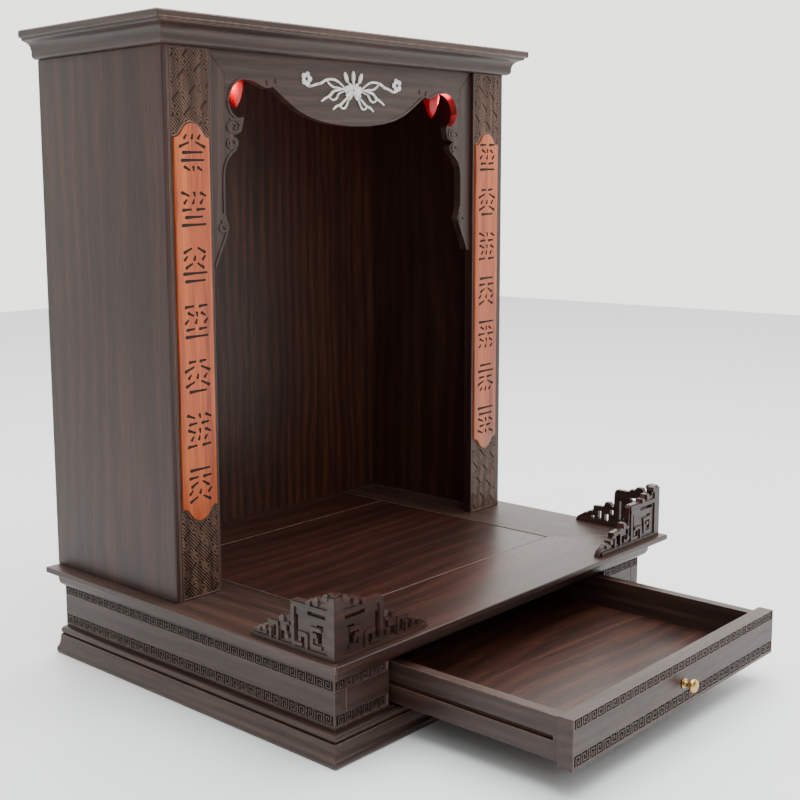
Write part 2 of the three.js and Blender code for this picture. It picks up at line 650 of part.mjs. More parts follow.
function addDrawer() {
  const face = board(-DRAWER_X, DRAWER_X, DRAWER_Y, DRAWER_Y + DRAWER_FRONT,
    DRAWER_BOTTOM, DRAWER_TOP);
  const bands = bandTools(-DRAWER_X + BAND_END, DRAWER_X - BAND_END,
    DRAWER_Y - 1, DRAWER_Y + BAND_DEPTH);
  add('drawer_front', cut(face, ...bands), darkWood);
  const side = board(BOX_X - DRAWER_SIDE, BOX_X, BOX_FRONT, BOX_BACK, SIDE_LOW, SIDE_HIGH);
  const groove = board(BOX_X - GROOVE_DEPTH, BOX_X + 1, BOX_FRONT + GROOVE_STOP,
    BOX_BACK + 1, GROOVE_LOW, GROOVE_HIGH);
  addPair('drawer_side', cut(side, groove), darkWood);
  const inside = BOX_X - DRAWER_SIDE - GAP;
  add('drawer_back', board(-inside, inside, BOX_BACK - DRAWER_SIDE, BOX_BACK,
    SIDE_LOW, SIDE_HIGH - 3), innerWood);
  add('drawer_bottom', board(-inside, inside, BOX_FRONT, BOX_BACK - DRAWER_SIDE - GAP,
    SIDE_LOW + 2, SIDE_LOW + 2 + TRAY), innerWood);
  const knobZ = (DRAWER_BOTTOM + DRAWER_TOP) / 2 - 0.5;
  const place = (geometry) => geometry.rotateX(Math.PI / 2)
    .translate(0, DRAWER_Y - GAP, knobZ);
  const rose = lathe([[0, 0], [5.4, 0], [5.4, 0.6], [4, 1.4], [0, 1.4]]);
  add('knob_rose', place(rose), brass);
  const start = 1.4 + GAP;
  const knob = lathe([[0, start], [3.2, start], [2.6, start + 3], [3.6, 7.4], [6.6, 8.6],
    [7.2, 10.4], [6, 12.6], [3, 13.8], [0, 14.1]]);
  add('drawer_knob', place(knob), brass);
}

addBase();
addLedge();
addNiche();
addCrown();
addPillars();
addValance();
addBrackets();
addInlay();
addLamps();
addRails();
addDrawer();

export default cabinet;
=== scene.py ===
# %% [markdown]
# # A household altar cabinet
# The object is a niche of dark stained hardwood on a low base with one long drawer. Its solids
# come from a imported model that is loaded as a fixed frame. Everything made here is laid over that
# frame: softened boards, carved key bands, inlay, lamps, brass and the finish of each surface.

# %% Load the fixed frame
import json
import math

import bmesh
import bpy
from mathutils import Matrix, Vector

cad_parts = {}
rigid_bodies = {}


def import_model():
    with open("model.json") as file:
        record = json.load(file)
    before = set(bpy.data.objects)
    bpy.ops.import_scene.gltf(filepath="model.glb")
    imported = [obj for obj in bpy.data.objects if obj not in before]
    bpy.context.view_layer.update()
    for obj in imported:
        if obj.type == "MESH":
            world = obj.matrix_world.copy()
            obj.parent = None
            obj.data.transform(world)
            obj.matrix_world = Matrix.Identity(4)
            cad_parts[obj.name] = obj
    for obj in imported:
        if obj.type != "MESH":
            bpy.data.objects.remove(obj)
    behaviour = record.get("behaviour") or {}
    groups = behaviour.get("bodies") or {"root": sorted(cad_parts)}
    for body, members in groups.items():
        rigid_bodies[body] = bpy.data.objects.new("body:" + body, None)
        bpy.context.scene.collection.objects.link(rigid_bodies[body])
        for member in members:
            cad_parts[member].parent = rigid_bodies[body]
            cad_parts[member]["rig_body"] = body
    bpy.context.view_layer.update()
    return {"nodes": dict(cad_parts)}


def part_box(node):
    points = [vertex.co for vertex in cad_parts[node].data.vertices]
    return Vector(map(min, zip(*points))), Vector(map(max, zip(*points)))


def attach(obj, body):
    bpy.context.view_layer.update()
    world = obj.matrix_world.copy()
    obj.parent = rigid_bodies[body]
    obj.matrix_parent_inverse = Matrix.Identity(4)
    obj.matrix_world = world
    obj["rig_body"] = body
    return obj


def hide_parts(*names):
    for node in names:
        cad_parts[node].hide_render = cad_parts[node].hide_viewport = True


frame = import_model()

# %% [markdown]
# The script works in metres, but a joiner thinks in millimetres, so one constant turns
# millimetres into metres. Every place is read from the frame, so nothing has to be fitted later.

# %% Driving sizes, from the frame
MM = 0.001

SIDES = ((1, "right"), (-1, "left"))

LEDGE_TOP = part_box("ledge_front")[1][2]
base_low, base_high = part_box("base_side_right")
FRIEZE_X = base_high[0]
FRIEZE_Y = base_low[1]
BACK = base_high[1]
pillar_low, pillar_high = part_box("pillar_right")
drawer_low, drawer_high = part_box("drawer_front")
print("ledge top", round(LEDGE_TOP / MM, 1), "mm, frieze half width", round(FRIEZE_X / MM, 1), "mm")

# %% [markdown]
# ## Camera
# The camera stands low, in front of the cabinet's left corner, and looks slightly down on the
# ledge. A view can be described by the point it looks at, an azimuth, an elevation and a distance,
# which is easier to read than three rotation angles. A small lens shift keeps the tall niche and
# the open drawer in the frame together.

# %% Camera
VIEW_AZIMUTH = math.radians(-46.018)
VIEW_ELEVATION = math.radians(8.358)
VIEW_ROLL = math.radians(-0.566)
VIEW_TARGET = Vector((0, -235 * MM, 0))
VIEW_SIDEWAYS = -219.06 * MM
VIEW_UP = 345.63 * MM
VIEW_DISTANCE = 1394.77 * MM
LENS_MM = 56.76
SENSOR_MM = 36
SHIFT = (0.09, -0.035)


def view_axes(azimuth, elevation, roll):
    """The camera's right, up and backward directions."""
    back = Vector((math.sin(azimuth) * math.cos(elevation),
                   -math.cos(azimuth) * math.cos(elevation),
                   math.sin(elevation)))
    right = Vector((0, 0, 1)).cross(back).normalized()
    up = back.cross(right)
    turned_right = math.cos(roll) * right + math.sin(roll) * up
    turned_up = math.cos(roll) * up - math.sin(roll) * right
    return turned_right, turned_up, back


right, up, back = view_axes(VIEW_AZIMUTH, VIEW_ELEVATION, VIEW_ROLL)
camera_data = bpy.data.cameras.new("camera")
camera_data.lens = LENS_MM
camera_data.sensor_width = SENSOR_MM
camera_data.shift_x, camera_data.shift_y = SHIFT
camera = bpy.data.objects.new("camera", camera_data)
bpy.context.collection.objects.link(camera)
place = VIEW_TARGET + VIEW_SIDEWAYS * right + VIEW_UP * up + VIEW_DISTANCE * back
camera.matrix_world = Matrix.Translation(place) @ Matrix((right, up, back)).transposed().to_4x4()
bpy.context.scene.camera = camera
print("camera at", [round(v, 3) for v in place])

# %% [markdown]
# ## Small helpers
# The materials, the sky and the Geometry Nodes trees are all built with the same few functions.
# One turns a hex colour into linear light, and one adds a node with its settings and links.

# %% A colour function and one helper that adds a node
def srgb(code):
    """Turn a hex colour, as a painter reads it off a chart, into linear light."""
    channels = [int(code[i:i + 2], 16) / 255 for i in (0, 2, 4)]
    return [c / 12.92 if c <= 0.04045 else ((c + 0.055) / 1.055) ** 2.4 for c in channels] + [1.0]


def add(tree, kind, inputs=None, **settings):
    """Add one node. A socket is linked, and so is a node's first output. The rest is typed in."""
    node = tree.nodes.new(kind)
    for name, value in settings.items():
        setattr(node, name, value)
    for key, value in (inputs or {}).items():
        if isinstance(value, bpy.types.Node):
            value = next(socket for socket in value.outputs if socket.enabled)
        if isinstance(value, bpy.types.NodeSocket):
            tree.links.new(value, node.inputs[key])
        else:
            node.inputs[key].default_value = value
    return node


def new_material(name):
    """An empty material and its node tree."""
    material = bpy.data.materials.new(name)
    material.use_nodes = True
    material.node_tree.nodes.clear()
    return material, material.node_tree


def mottled(name, patch, colours, roughness, ior, detail=2.0):
    """A finish whose colour drifts between two tones, in patches of a given size."""
    material, tree = new_material(name)
    where = add(tree, "ShaderNodeTexCoord").outputs["Object"]
    cloud = add(tree, "ShaderNodeTexNoise", {
        "Vector": where, "Scale": 1 / patch, "Detail": detail})
    tint = add(tree, "ShaderNodeMix", {
        "Factor": cloud, "A": srgb(colours[0]), "B": srgb(colours[1])},
        data_type="RGBA")
    shader = add(tree, "ShaderNodeBsdfPrincipled", {
        "Base Color": tint, "Roughness": roughness, "IOR": ior})
    add(tree, "ShaderNodeOutputMaterial", {"Surface": shader})
    return material


def plain_mesh(name, form):
    """Turn a bmesh into a mesh, and free the bmesh."""
    mesh = bpy.data.meshes.new(name)
    form.to_mesh(mesh)
    form.free()
    return mesh


def place_object(name, data, materials=()):
    """Put a mesh or a light into the scene. A mesh's object stays at the origin."""
    thing = bpy.data.objects.new(name, data)
    bpy.context.collection.objects.link(thing)
    for material in materials:
        data.materials.append(material)
    return thing


print("white is", srgb("FFFFFF"))

# %% [markdown]
# ## Floor and light
# The cabinet stands in a plain pale studio. Polished dark wood is mostly seen by what it mirrors,
# so the sky matters most: a bright wall behind the cabinet that fades into a dim room in front.
# A wide softbox overhead lights the floor, and a small one from the front left gives the
# mouldings their direction.

# %% Floor
FLOOR_HALF = 4000 * MM
FLOOR_DROP = 0.2 * MM             # keeps the floor off the cabinet's underside
FLOOR_PATCH = 1000 / 3 * MM       # size of a cloud in the cement

# Sealed cement, trowelled smooth: almost white, with faint clouds and a soft sheen.
cement = mottled("sealed pale cement", FLOOR_PATCH, ("E4E9EC", "F1F4F5"), 0.42, 1.45, detail=4.0)
floor_mesh = bpy.data.meshes.new("floor")
corners = [(-FLOOR_HALF, -FLOOR_HALF), (FLOOR_HALF, -FLOOR_HALF),
           (FLOOR_HALF, FLOOR_HALF), (-FLOOR_HALF, FLOOR_HALF)]
floor_mesh.from_pydata([(x, y, -FLOOR_DROP) for x, y in corners], [], [(0, 1, 2, 3)])
floor = place_object("floor", floor_mesh, [cement])
print("floor", 2 * FLOOR_HALF, "m square")

# %% Sky and softbox
WALL_STRENGTH = 2.6               # the pale wall behind the cabinet
ROOM_STRENGTH = 0.5               # the dim room in front of it
ROOM_WAY = (-0.72, -0.69, 0.1)    # towards the dim side
FADE = (-0.45, 0.35)              # where the wall starts to fade, and where the room is reached


def studio_sky():
    """A pale wall on one side that fades into a dimmer room on the other."""
    world = bpy.data.worlds.new("studio")
    world.use_nodes = True
    tree = world.node_tree
    tree.nodes.clear()
    way = add(tree, "ShaderNodeTexCoord").outputs["Generated"]
    facing_room = add(tree, "ShaderNodeVectorMath", {0: way, 1: ROOM_WAY},
                      operation="DOT_PRODUCT")
    power = add(tree, "ShaderNodeMapRange", {
        "Value": facing_room, "From Min": FADE[0], "From Max": FADE[1],
        "To Min": WALL_STRENGTH, "To Max": ROOM_STRENGTH}, interpolation_type="SMOOTHSTEP")
    sky = add(tree, "ShaderNodeBackground", {
        "Color": srgb("FBFBF6"), "Strength": power})
    add(tree, "ShaderNodeOutputWorld", {"Surface": sky})
    return world


bpy.context.scene.world = studio_sky()


def softbox(name, place, aim, size, power):
    """A square white area light that points at a spot. Lengths are in metres, power in watts."""
    lamp = bpy.data.lights.new(name, "AREA")
    lamp.size = size
    lamp.energy = power
    thing = place_object(name, lamp)
    thing.location = place
    thing.rotation_mode = "QUATERNION"
    thing.rotation_quaternion = (Vector(aim) - Vector(place)).to_track_quat("-Z", "Y")
    return thing


softbox("softbox_above", (0.1, -0.3, 2.9), (0, 0, 0), 3.2, 190)
softbox("softbox_front", (-1.4, -2.1, 1.5), (0, 0, 0.35), 1.0, 14)
print("wall", WALL_STRENGTH, "room", ROOM_STRENGTH, "and two softboxes")

# %% [markdown]
# ## Dark wood
# The cabinet is a dense dark hardwood of the wenge kind, planed, stained and wiped with a thin
# satin varnish. The eye reads it by long fine lines along the grain, a slower change between
# chocolate and near black, and open pores that break the gloss. All of it follows the board, so
# the pattern is stretched along the grain and squeezed across it. Real line widths set the scale.

# %% The wood recipe
GRAIN_TURN = {"X": (0, 0, 0), "Y": (0, 0, math.radians(90)), "Z": (0, math.radians(90), 0)}
FIGURE_MM = 13                    # between growth lines
STREAK_MM = 3.2                   # width of a colour streak
PORE_MM = 0.7                     # width of an open pore, drawn twice as coarse as it is
STRETCH = 0.035                   # a streak is about thirty times as long as it is wide


def wood(name, colours, grain, shift=0.0, roughness=0.44, relief=0.12, coat=0.12):
    """Varnished hardwood. The three colours go from the darkest line to the palest."""
    material, tree = new_material(name)
    where = add(tree, "ShaderNodeTexCoord").outputs["Object"]
    laid = add(tree, "ShaderNodeMapping", {
        "Vector": where, "Location": (shift, 0.37 * shift, 0.61 * shift),
        "Rotation": GRAIN_TURN[grain]}).outputs["Vector"]
    slow = add(tree, "ShaderNodeMapping", {"Vector": laid, "Scale": (0.25, 1, 1)})
    sway = add(tree, "ShaderNodeTexNoise", {
        "Vector": slow, "Scale": 9.0, "Detail": 2.0})
    bent = add(tree, "ShaderNodeVectorMath", {
        0: sway.outputs["Color"], 1: (0, 0.035, 0.035), 2: laid}, operation="MULTIPLY_ADD")
    squeezed = add(tree, "ShaderNodeMapping", {
        "Vector": bent, "Scale": (STRETCH, 1, 1)}).outputs["Vector"]
    figure = add(tree, "ShaderNodeTexWave", {
        "Vector": squeezed, "Scale": 0.31 / (FIGURE_MM * MM), "Distortion": 5.0,
        "Detail": 3.0, "Detail Scale": 1.4}, wave_type="RINGS", rings_direction="X")
    streak = add(tree, "ShaderNodeTexNoise", {
        "Vector": squeezed, "Scale": 1 / (STREAK_MM * MM), "Detail": 4.0, "Roughness": 0.62})
    pore = add(tree, "ShaderNodeTexNoise", {
        "Vector": squeezed, "Scale": 1 / (PORE_MM * MM), "Detail": 2.0})
    broad = add(tree, "ShaderNodeTexNoise", {
        "Vector": slow, "Scale": 14.0, "Detail": 2.0})
    half = add(tree, "ShaderNodeMix", {
        "Factor": 0.2, "A": streak, "B": figure.outputs["Fac"]})
    mixed = add(tree, "ShaderNodeMix", {
        "Factor": 0.3, "A": half, "B": broad})
    fine = add(tree, "ShaderNodeMix", {
        "Factor": 0.16, "A": mixed, "B": pore})
    ramp = add(tree, "ShaderNodeValToRGB", {"Fac": fine})
    ramp.color_ramp.elements[0].position = 0.33
    ramp.color_ramp.elements[0].color = srgb(colours[0])
    ramp.color_ramp.elements[1].position = 0.7
    ramp.color_ramp.elements[1].color = srgb(colours[2])
    ramp.color_ramp.elements.new(0.5).color = srgb(colours[1])
    gloss = add(tree, "ShaderNodeMapRange", {
        "Value": pore, "From Min": 0.3, "From Max": 0.7,
        "To Min": roughness + 0.07, "To Max": roughness - 0.05})
    height = add(tree, "ShaderNodeMix", {
        "Factor": 0.6, "A": streak, "B": pore})
    bump = add(tree, "ShaderNodeBump", {
        "Height": height, "Strength": 0.5, "Distance": relief * MM})
    shader = add(tree, "ShaderNodeBsdfPrincipled", {
        "Base Color": ramp, "Roughness": gloss,
        "Normal": bump, "IOR": 1.48, "Specular IOR Level": 0.4,
        "Coat Weight": coat, "Coat Roughness": 0.32})
    add(tree, "ShaderNodeOutputMaterial", {"Surface": shader})
    return material


# %% [markdown]
# One recipe serves every board. The colours and the grain's direction change from board to board,
# and a shift moves the pattern, so that no two groups of boards show the same figure.

# %% The woods of this cabinet
CARCASE = ("1A0D0A", "2C1610", "452519")   # near black to chocolate, for the large boards
INSIDE = ("1C0D09", "341A12", "52301F")    # redder, where the varnish never faded
FRONT = ("1E1310", "33211B", "4A342B")     # greyer, on the handled front
EDGE = ("3C2A23", "5A4238", "75594C")      # bare wood shows through a worn edge, paler still as a painted highlight
FRET = ("33211A", "553D31", "7A5D4C")      # raised bars, wiped until they are paler
GROUND = ("0C0706", "160D0A", "24160F")    # stain left in the hollows, darkened further as painted shade so the carving reads
wenge_upright = wood("varnished wenge, grain upright", CARCASE, "Z")
wenge_across = wood("varnished wenge, grain across", FRONT, "X", shift=1.3)
wenge_ledge = wood("varnished wenge, ledge", CARCASE, "X", shift=2.9, roughness=0.36)
wenge_panel = wood("varnished wenge, ledge panel", CARCASE, "X", shift=4.1, roughness=0.36)
wenge_deep = wood("varnished wenge, grain front to back", FRONT, "Y", shift=5.7)
wenge_inside = wood("varnished wenge, niche lining", INSIDE, "Z", shift=7.3)
wenge_tray = wood("varnished wenge, drawer bottom", INSIDE, "X", shift=8.9)
wenge_strip = wood("varnished wenge, bracket strips", FRONT, "Z", shift=9.7)
# The edge wood is paler for two causes: worn varnish, and a painted highlight where a polished arris
# catches light.
edge_wear_and_highlight = wood("worn wenge edge with painted highlight", EDGE, "Z", shift=0.4, roughness=0.4)
# The carving's sunken ground is stained, and made darker still as painted shade in the hollows.
ground_stain_and_shade = wood("stained ground of the carving, darkened as painted shade", GROUND, "X", roughness=0.6, coat=0.0)
wenge_fret = wood("rubbed wenge, carved fret", FRET, "Z", shift=3.3, roughness=0.4)
print("woods", [m.name for m in bpy.data.materials if "wenge" in m.name])

# %% [markdown]
# ## Boards with softened edges
# A planed board never has a knife edge: the maker breaks each arris with a few strokes of
# sandpaper, and the varnish there wears to a paler line. A copy of each solid gets its loose
# triangles merged, its flat faces joined, and a narrow rounded bevel whose faces carry paler
# wood: partly the rubbed varnish, partly a painted highlight where the polished edge catches light.

# %% Softening helper
WELD = 0.005 * MM                 # points closer than this are one point
FLAT = math.radians(0.4)          # faces that turn less than this are one face
EDGE_MM = 0.6                     # width of a broken edge on a board
FINE_EDGE_MM = 0.35               # and on thin or carved wood
EDGE_ANGLE = math.radians(32)     # only sharper corners are broken


def welded(node):
    """A copy of a solid's mesh with merged points and whole flat faces."""
    form = bmesh.new()
    form.from_mesh(frame["nodes"][node].data)
    bmesh.ops.remove_doubles(form, verts=form.verts, dist=WELD)
    bmesh.ops.dissolve_limit(form, angle_limit=FLAT, verts=form.verts, edges=form.edges)
    return form


def finished_mesh(name, form, smooth_angle=None):
    """Turn a bmesh into a smooth-shaded mesh that holds only its shape."""
    mesh = plain_mesh(name, form)
    if "custom_normal" in mesh.attributes:
        mesh.attributes.remove(mesh.attributes["custom_normal"])
    mesh.shade_smooth()
    if smooth_angle is not None:
        mesh.set_sharp_from_angle(angle=math.radians(smooth_angle))
    return mesh


def settle(piece, node_names):
    """Fix a piece to the body its solids move with, and hide the solids it stands for."""
    piece_body = frame["nodes"][node_names[0]]["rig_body"]
    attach(piece, piece_body)
    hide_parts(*node_names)
    return piece


def is_ground(face, ground):
    """Whether a face lies in one of the planes of a carving's sunken ground."""
    return any(abs(face.center[axis] - level) < 0.1 * MM for axis, level in ground)


def softened(node, finish, width=EDGE_MM, edge=None, ground=()):
    """A board with broken edges stands for its solid."""
    mesh = finished_mesh(node + "_shape", welded(node))
    piece = place_object(node + "_wood", mesh, [finish, edge or edge_wear_and_highlight, ground_stain_and_shade])
    # Faces of the sunken ground take the stain that is partly painted shade.
    for face in mesh.polygons:
        face.material_index = 2 if is_ground(face, ground) else 0
    bevel = piece.modifiers.new("broken edges", "BEVEL")
    bevel.width = width * MM
    bevel.segments = 2
    bevel.limit_method = "ANGLE"
    bevel.angle_limit = EDGE_ANGLE
    bevel.harden_normals = True
    # The bevel's faces take the edge wood, whose paleness is partly a painted highlight.
    bevel.material = 1
    return settle(piece, [node])


# %% [markdown]
# Each board takes the wood whose grain runs its way. Where a board is carved, the planes of its
# sunken ground are listed, and the faces that lie in them take the dark stain, which is partly
# painted shade.

# %% The boards
BOARDS = [
    (wenge_across, ["front_rail", "plinth_moulding_front", "crown_moulding_front",
                    "front_stile_right", "front_stile_left", "valance", "drawer_front",
                    "drawer_back", "base_back", "crown_back_rail", "top_board"]),
    (wenge_deep, ["base_side_right", "base_side_left", "plinth_moulding_right",
                  "plinth_moulding_left", "crown_moulding_right", "crown_moulding_left",
                  "drawer_side_right", "drawer_side_left", "ledge_side_right",
                  "ledge_side_left", "rail_side_right", "rail_side_left"]),
    (wenge_ledge, ["ledge_front", "ledge_back", "rail_front_right", "rail_front_left"]),
    (wenge_panel, ["ledge_panel"]),
    (wenge_upright, ["niche_side_right", "niche_side_left", "pillar_right", "pillar_left"]),
    (wenge_strip, ["bracket_right", "bracket_left"]),
]
LINING = [
    (wenge_inside, ["niche_back", "niche_ceiling"]),
    (wenge_tray, ["drawer_bottom", "bottom_board", "drawer_runner_right",
                  "drawer_runner_left"]),
]
FINE = ("rail", "bracket", "valance")
BAND_DEPTH = 1.5 * MM             # how deep the key bands are sunk
FIELD_DEPTH = 2 * MM              # how deep the pillars' fields are sunk
front_ground = (1, FRIEZE_Y + BAND_DEPTH)
GROUNDS = {
    "drawer_front": [(1, drawer_low[1] + BAND_DEPTH)],
    "front_stile_right": [front_ground],
    "front_stile_left": [front_ground],
    "base_side_right": [front_ground, (0, FRIEZE_X - BAND_DEPTH)],
    "base_side_left": [front_ground, (0, BAND_DEPTH - FRIEZE_X)],
    "pillar_right": [(1, pillar_low[1] + FIELD_DEPTH)],
    "pillar_left": [(1, pillar_low[1] + FIELD_DEPTH)],
}
for finish, names in BOARDS:
    for name in names:
        softened(name, finish, width=FINE_EDGE_MM if name.startswith(FINE) else EDGE_MM,
                 ground=GROUNDS.get(name, ()))
for finish, names in LINING:
    for name in names:
        softened(name, finish)
print("boards", sum(len(names) for finish, names in BOARDS + LINING))

# %% [markdown]
# ## Outlines drawn as strokes
# Key frets, carved strokes and pearl stems are all bars of even width that follow a path. Two
# helpers make them: one turns a path into a flat outline with mitred corners, and one closes an
# outline into a solid between two depths. They work in a standing plane, with x to the right,
# z up and y into the wood, so a later matrix can turn the result onto any face.

# %% Stroke helpers
def bar_outline(points, width):
    """The outline of a flat bar that follows straight legs, mitred at its corners."""
    path = [Vector(point) for point in points]
    left, right = [], []
    for i, point in enumerate(path):
        legs = []
        if i > 0:
            legs.append((point - path[i - 1]).normalized())
        if i < len(path) - 1:
            legs.append((path[i + 1] - point).normalized())
        sides = [Vector((-leg.y, leg.x)) for leg in legs]
        side = sum(sides, Vector((0, 0))).normalized()
        reach = width / 2 / side.dot(sides[0])
        left.append(point + side * reach)
        right.append(point - side * reach)
    return left + right[::-1]


def add_prism(form, outline, front, back, taper=1.0):
    """Close a flat outline into a solid. The back may be smaller than the front."""
    middle = sum((Vector(p) for p in outline), Vector((0, 0))) / len(outline)
    shrunk = [middle + (Vector(p) - middle) * taper for p in outline]
    near = [form.verts.new((p[0], front, p[1])) for p in outline]
    far = [form.verts.new((p[0], back, p[1])) for p in shrunk]
    form.faces.new(near)
    form.faces.new(far[::-1])
    for i in range(len(near)):
        j = (i + 1) % len(near)
        form.faces.new((near[j], near[i], far[i], far[j]))


def outward(form):
    """Make every face of some closed solids point out."""
    bmesh.ops.recalc_face_normals(form, faces=form.faces)
    return form


print("stroke helpers ready")

# %% [markdown]
# ## Key bands
# A running band of square hooks is carved along the top and the bottom of the base's frieze.
# Every second hook is upside down. The ground is sunk into the board, so what stands up is made
# here: one hook, and Geometry Nodes that repeat it along a line, turn every second one round and
# set a plain bar between neighbours. The tree's inputs are the count and the pitch.

# %% One hook on a grid of eight by seven
HOOK_COLUMNS = 8                  # seven for the hook and one for the bar between hooks
HOOK_ROWS = 7
HOOK_PATH = [(-2, -3.5), (-2, 2), (2, 2), (2, -2), (0, -2), (0, 0.5)]
BAND_RANGES = [(33.5 * MM, 44 * MM), (69.3 * MM, 78.2 * MM)]
RIDGE_TOP = 0.1 * MM              # the carved ridges lie this far under the board's face
RIDGE_EDGE = 0.22 * MM            # width of the broken edge along a ridge


def hook_mesh(pitch, height):
    """A square hook whose end runs out at the band's lower edge."""
    across, up_step = pitch / HOOK_COLUMNS, height / HOOK_ROWS
    form = bmesh.new()
    outline = [(x * across, z * up_step) for x, z in bar_outline(HOOK_PATH, 1.0)]
    add_prism(form, outline, RIDGE_TOP, BAND_DEPTH)
    outward(form)
    front_edges = [e for e in form.edges if all(v.co.y < BAND_DEPTH / 2 for v in e.verts)]
    bmesh.ops.bevel(form, geom=front_edges, offset=RIDGE_EDGE, segments=1, affect="EDGES")
    return plain_mesh("hook", form)


print("hook of", len(hook_mesh(12 * MM, 9 * MM).polygons), "faces")

# %% [markdown]
# The tree sets points along a line. It puts a hook on each one, turned over at every odd point,
# and a bar half a pitch beside each one but the last.

# %% A tree that repeats the hook
def add_inputs(tree, sockets):
    """Named inputs for a tree, and one geometry output."""
    tree.interface.new_socket("Geometry", in_out="OUTPUT", socket_type="NodeSocketGeometry")
    for name, kind in sockets:
        tree.interface.new_socket(name, in_out="INPUT", socket_type="NodeSocket" + kind)
    return add(tree, "NodeGroupInput").outputs


def band_tree():
    """Hooks along x, centred on the origin, with a bar between neighbours."""
    tree = bpy.data.node_groups.new("key band", "GeometryNodeTree")
    given = add_inputs(tree, [("Hook", "Geometry"), ("Count", "Int"), ("Pitch", "Float"),
                              ("Bar Width", "Float"), ("Bar Height", "Float"),
                              ("Depth", "Float"), ("Finish", "Material")])
    step = add(tree, "ShaderNodeCombineXYZ", {"X": given["Pitch"]})
    less = add(tree, "ShaderNodeMath", {0: given["Count"], 1: 1.0}, operation="SUBTRACT")
    half = add(tree, "ShaderNodeMath", {0: less, 1: -0.5}, operation="MULTIPLY")
    first = add(tree, "ShaderNodeMath", {0: half, 1: given["Pitch"]},
                operation="MULTIPLY")
    start = add(tree, "ShaderNodeCombineXYZ", {"X": first})
    line = add(tree, "GeometryNodeMeshLine", {
        "Count": given["Count"], "Start Location": start, "Offset": step})
    order = add(tree, "GeometryNodeInputIndex")
    odd = add(tree, "ShaderNodeMath", {0: order, 1: 2.0}, operation="MODULO")
    turn = add(tree, "ShaderNodeMath", {0: odd, 1: math.pi}, operation="MULTIPLY")
    angles = add(tree, "ShaderNodeCombineXYZ", {"Y": turn})
    rotation = add(tree, "FunctionNodeEulerToRotation", {0: angles})
    hooks = add(tree, "GeometryNodeInstanceOnPoints", {
        "Points": line, "Instance": given["Hook"], "Rotation": rotation})
    size = add(tree, "ShaderNodeCombineXYZ", {
        "X": given["Bar Width"], "Y": given["Depth"], "Z": given["Bar Height"]})
    bar = add(tree, "GeometryNodeMeshCube", {"Size": size})
    half_pitch = add(tree, "ShaderNodeMath", {0: given["Pitch"], 1: 0.5}, operation="MULTIPLY")
    half_depth = add(tree, "ShaderNodeMath", {0: given["Depth"], 1: 0.5, 2: RIDGE_TOP},
                     operation="MULTIPLY_ADD")
    beside = add(tree, "ShaderNodeCombineXYZ", {
        "X": half_pitch, "Y": half_depth})
    moved = add(tree, "GeometryNodeTransform", {
        "Geometry": bar, "Translation": beside})
    is_last = add(tree, "FunctionNodeCompare", {2: order, 3: less},
                  data_type="INT", operation="LESS_THAN")
    bars = add(tree, "GeometryNodeInstanceOnPoints", {
        "Points": line, "Instance": moved, "Selection": is_last})
    both = add(tree, "GeometryNodeJoinGeometry", {"Geometry": hooks})
    tree.links.new(bars.outputs[0], both.inputs[0])
    real = add(tree, "GeometryNodeRealizeInstances", {"Geometry": both})
    dressed = add(tree, "GeometryNodeSetMaterial", {
        "Geometry": real, "Material": given["Finish"]})
    add(tree, "NodeGroupOutput", {"Geometry": dressed})
    return tree


def grown(seed_mesh, tree, values):
    """Run a tree on a mesh and keep the result as a plain mesh."""
    seed = place_object("seed", seed_mesh)
    modifier = seed.modifiers.new("growth", "NODES")
    modifier.node_group = tree
    sockets = {item.name: item.identifier for item in tree.interface.items_tree
               if item.in_out == "INPUT"}
    for key, value in values.items():
        modifier[sockets[key]] = value
    graph = bpy.context.evaluated_depsgraph_get()
    mesh = bpy.data.meshes.new_from_object(seed.evaluated_get(graph), depsgraph=graph)
    seed.modifiers.clear()
    bpy.data.objects.remove(seed)
    return mesh


key_band = band_tree()
print("band tree of", len(key_band.nodes), "nodes")

# %% [markdown]
# The pitch is stretched a little on each face, so that a whole number of hooks fills its length.

# %% The bands, face by face
HOOK_PITCH = 12.25 * MM
BAND_END = 2.5 * MM               # plain wood at each end of a band


def band_on(length, ranges, finish):
    """Both bands of one face, in the face's own plane."""
    form = bmesh.new()
    for low, high in ranges:
        count = round(length / HOOK_PITCH)
        pitch = length / count
        height = high - low
        row = grown(hook_mesh(pitch, height), key_band, {
            "Count": count, "Pitch": pitch, "Bar Width": pitch / HOOK_COLUMNS,
            "Bar Height": height, "Depth": BAND_DEPTH - RIDGE_TOP, "Finish": finish})
        row.transform(Matrix.Translation((0, 0, (low + high) / 2)))
        form.from_mesh(row)
    return form


def facing(origin, right_way):
    """A matrix that lays the standing plane on a face, given the way its x runs."""
    x_axis = Vector(right_way)
    z_axis = Vector((0, 0, 1))
    y_axis = z_axis.cross(x_axis)
    turn = Matrix((x_axis, y_axis, z_axis)).transposed().to_4x4()
    return Matrix.Translation(origin) @ turn


def add_band(name, length, matrix, body, finish):
    """Carve both key bands of a face and fix them to a body."""
    form = band_on(length, BAND_RANGES, finish)
    form.transform(matrix)
    mesh = finished_mesh(name, form, 20)
    piece = place_object(name, mesh, [finish])
    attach(piece, body)
    return piece


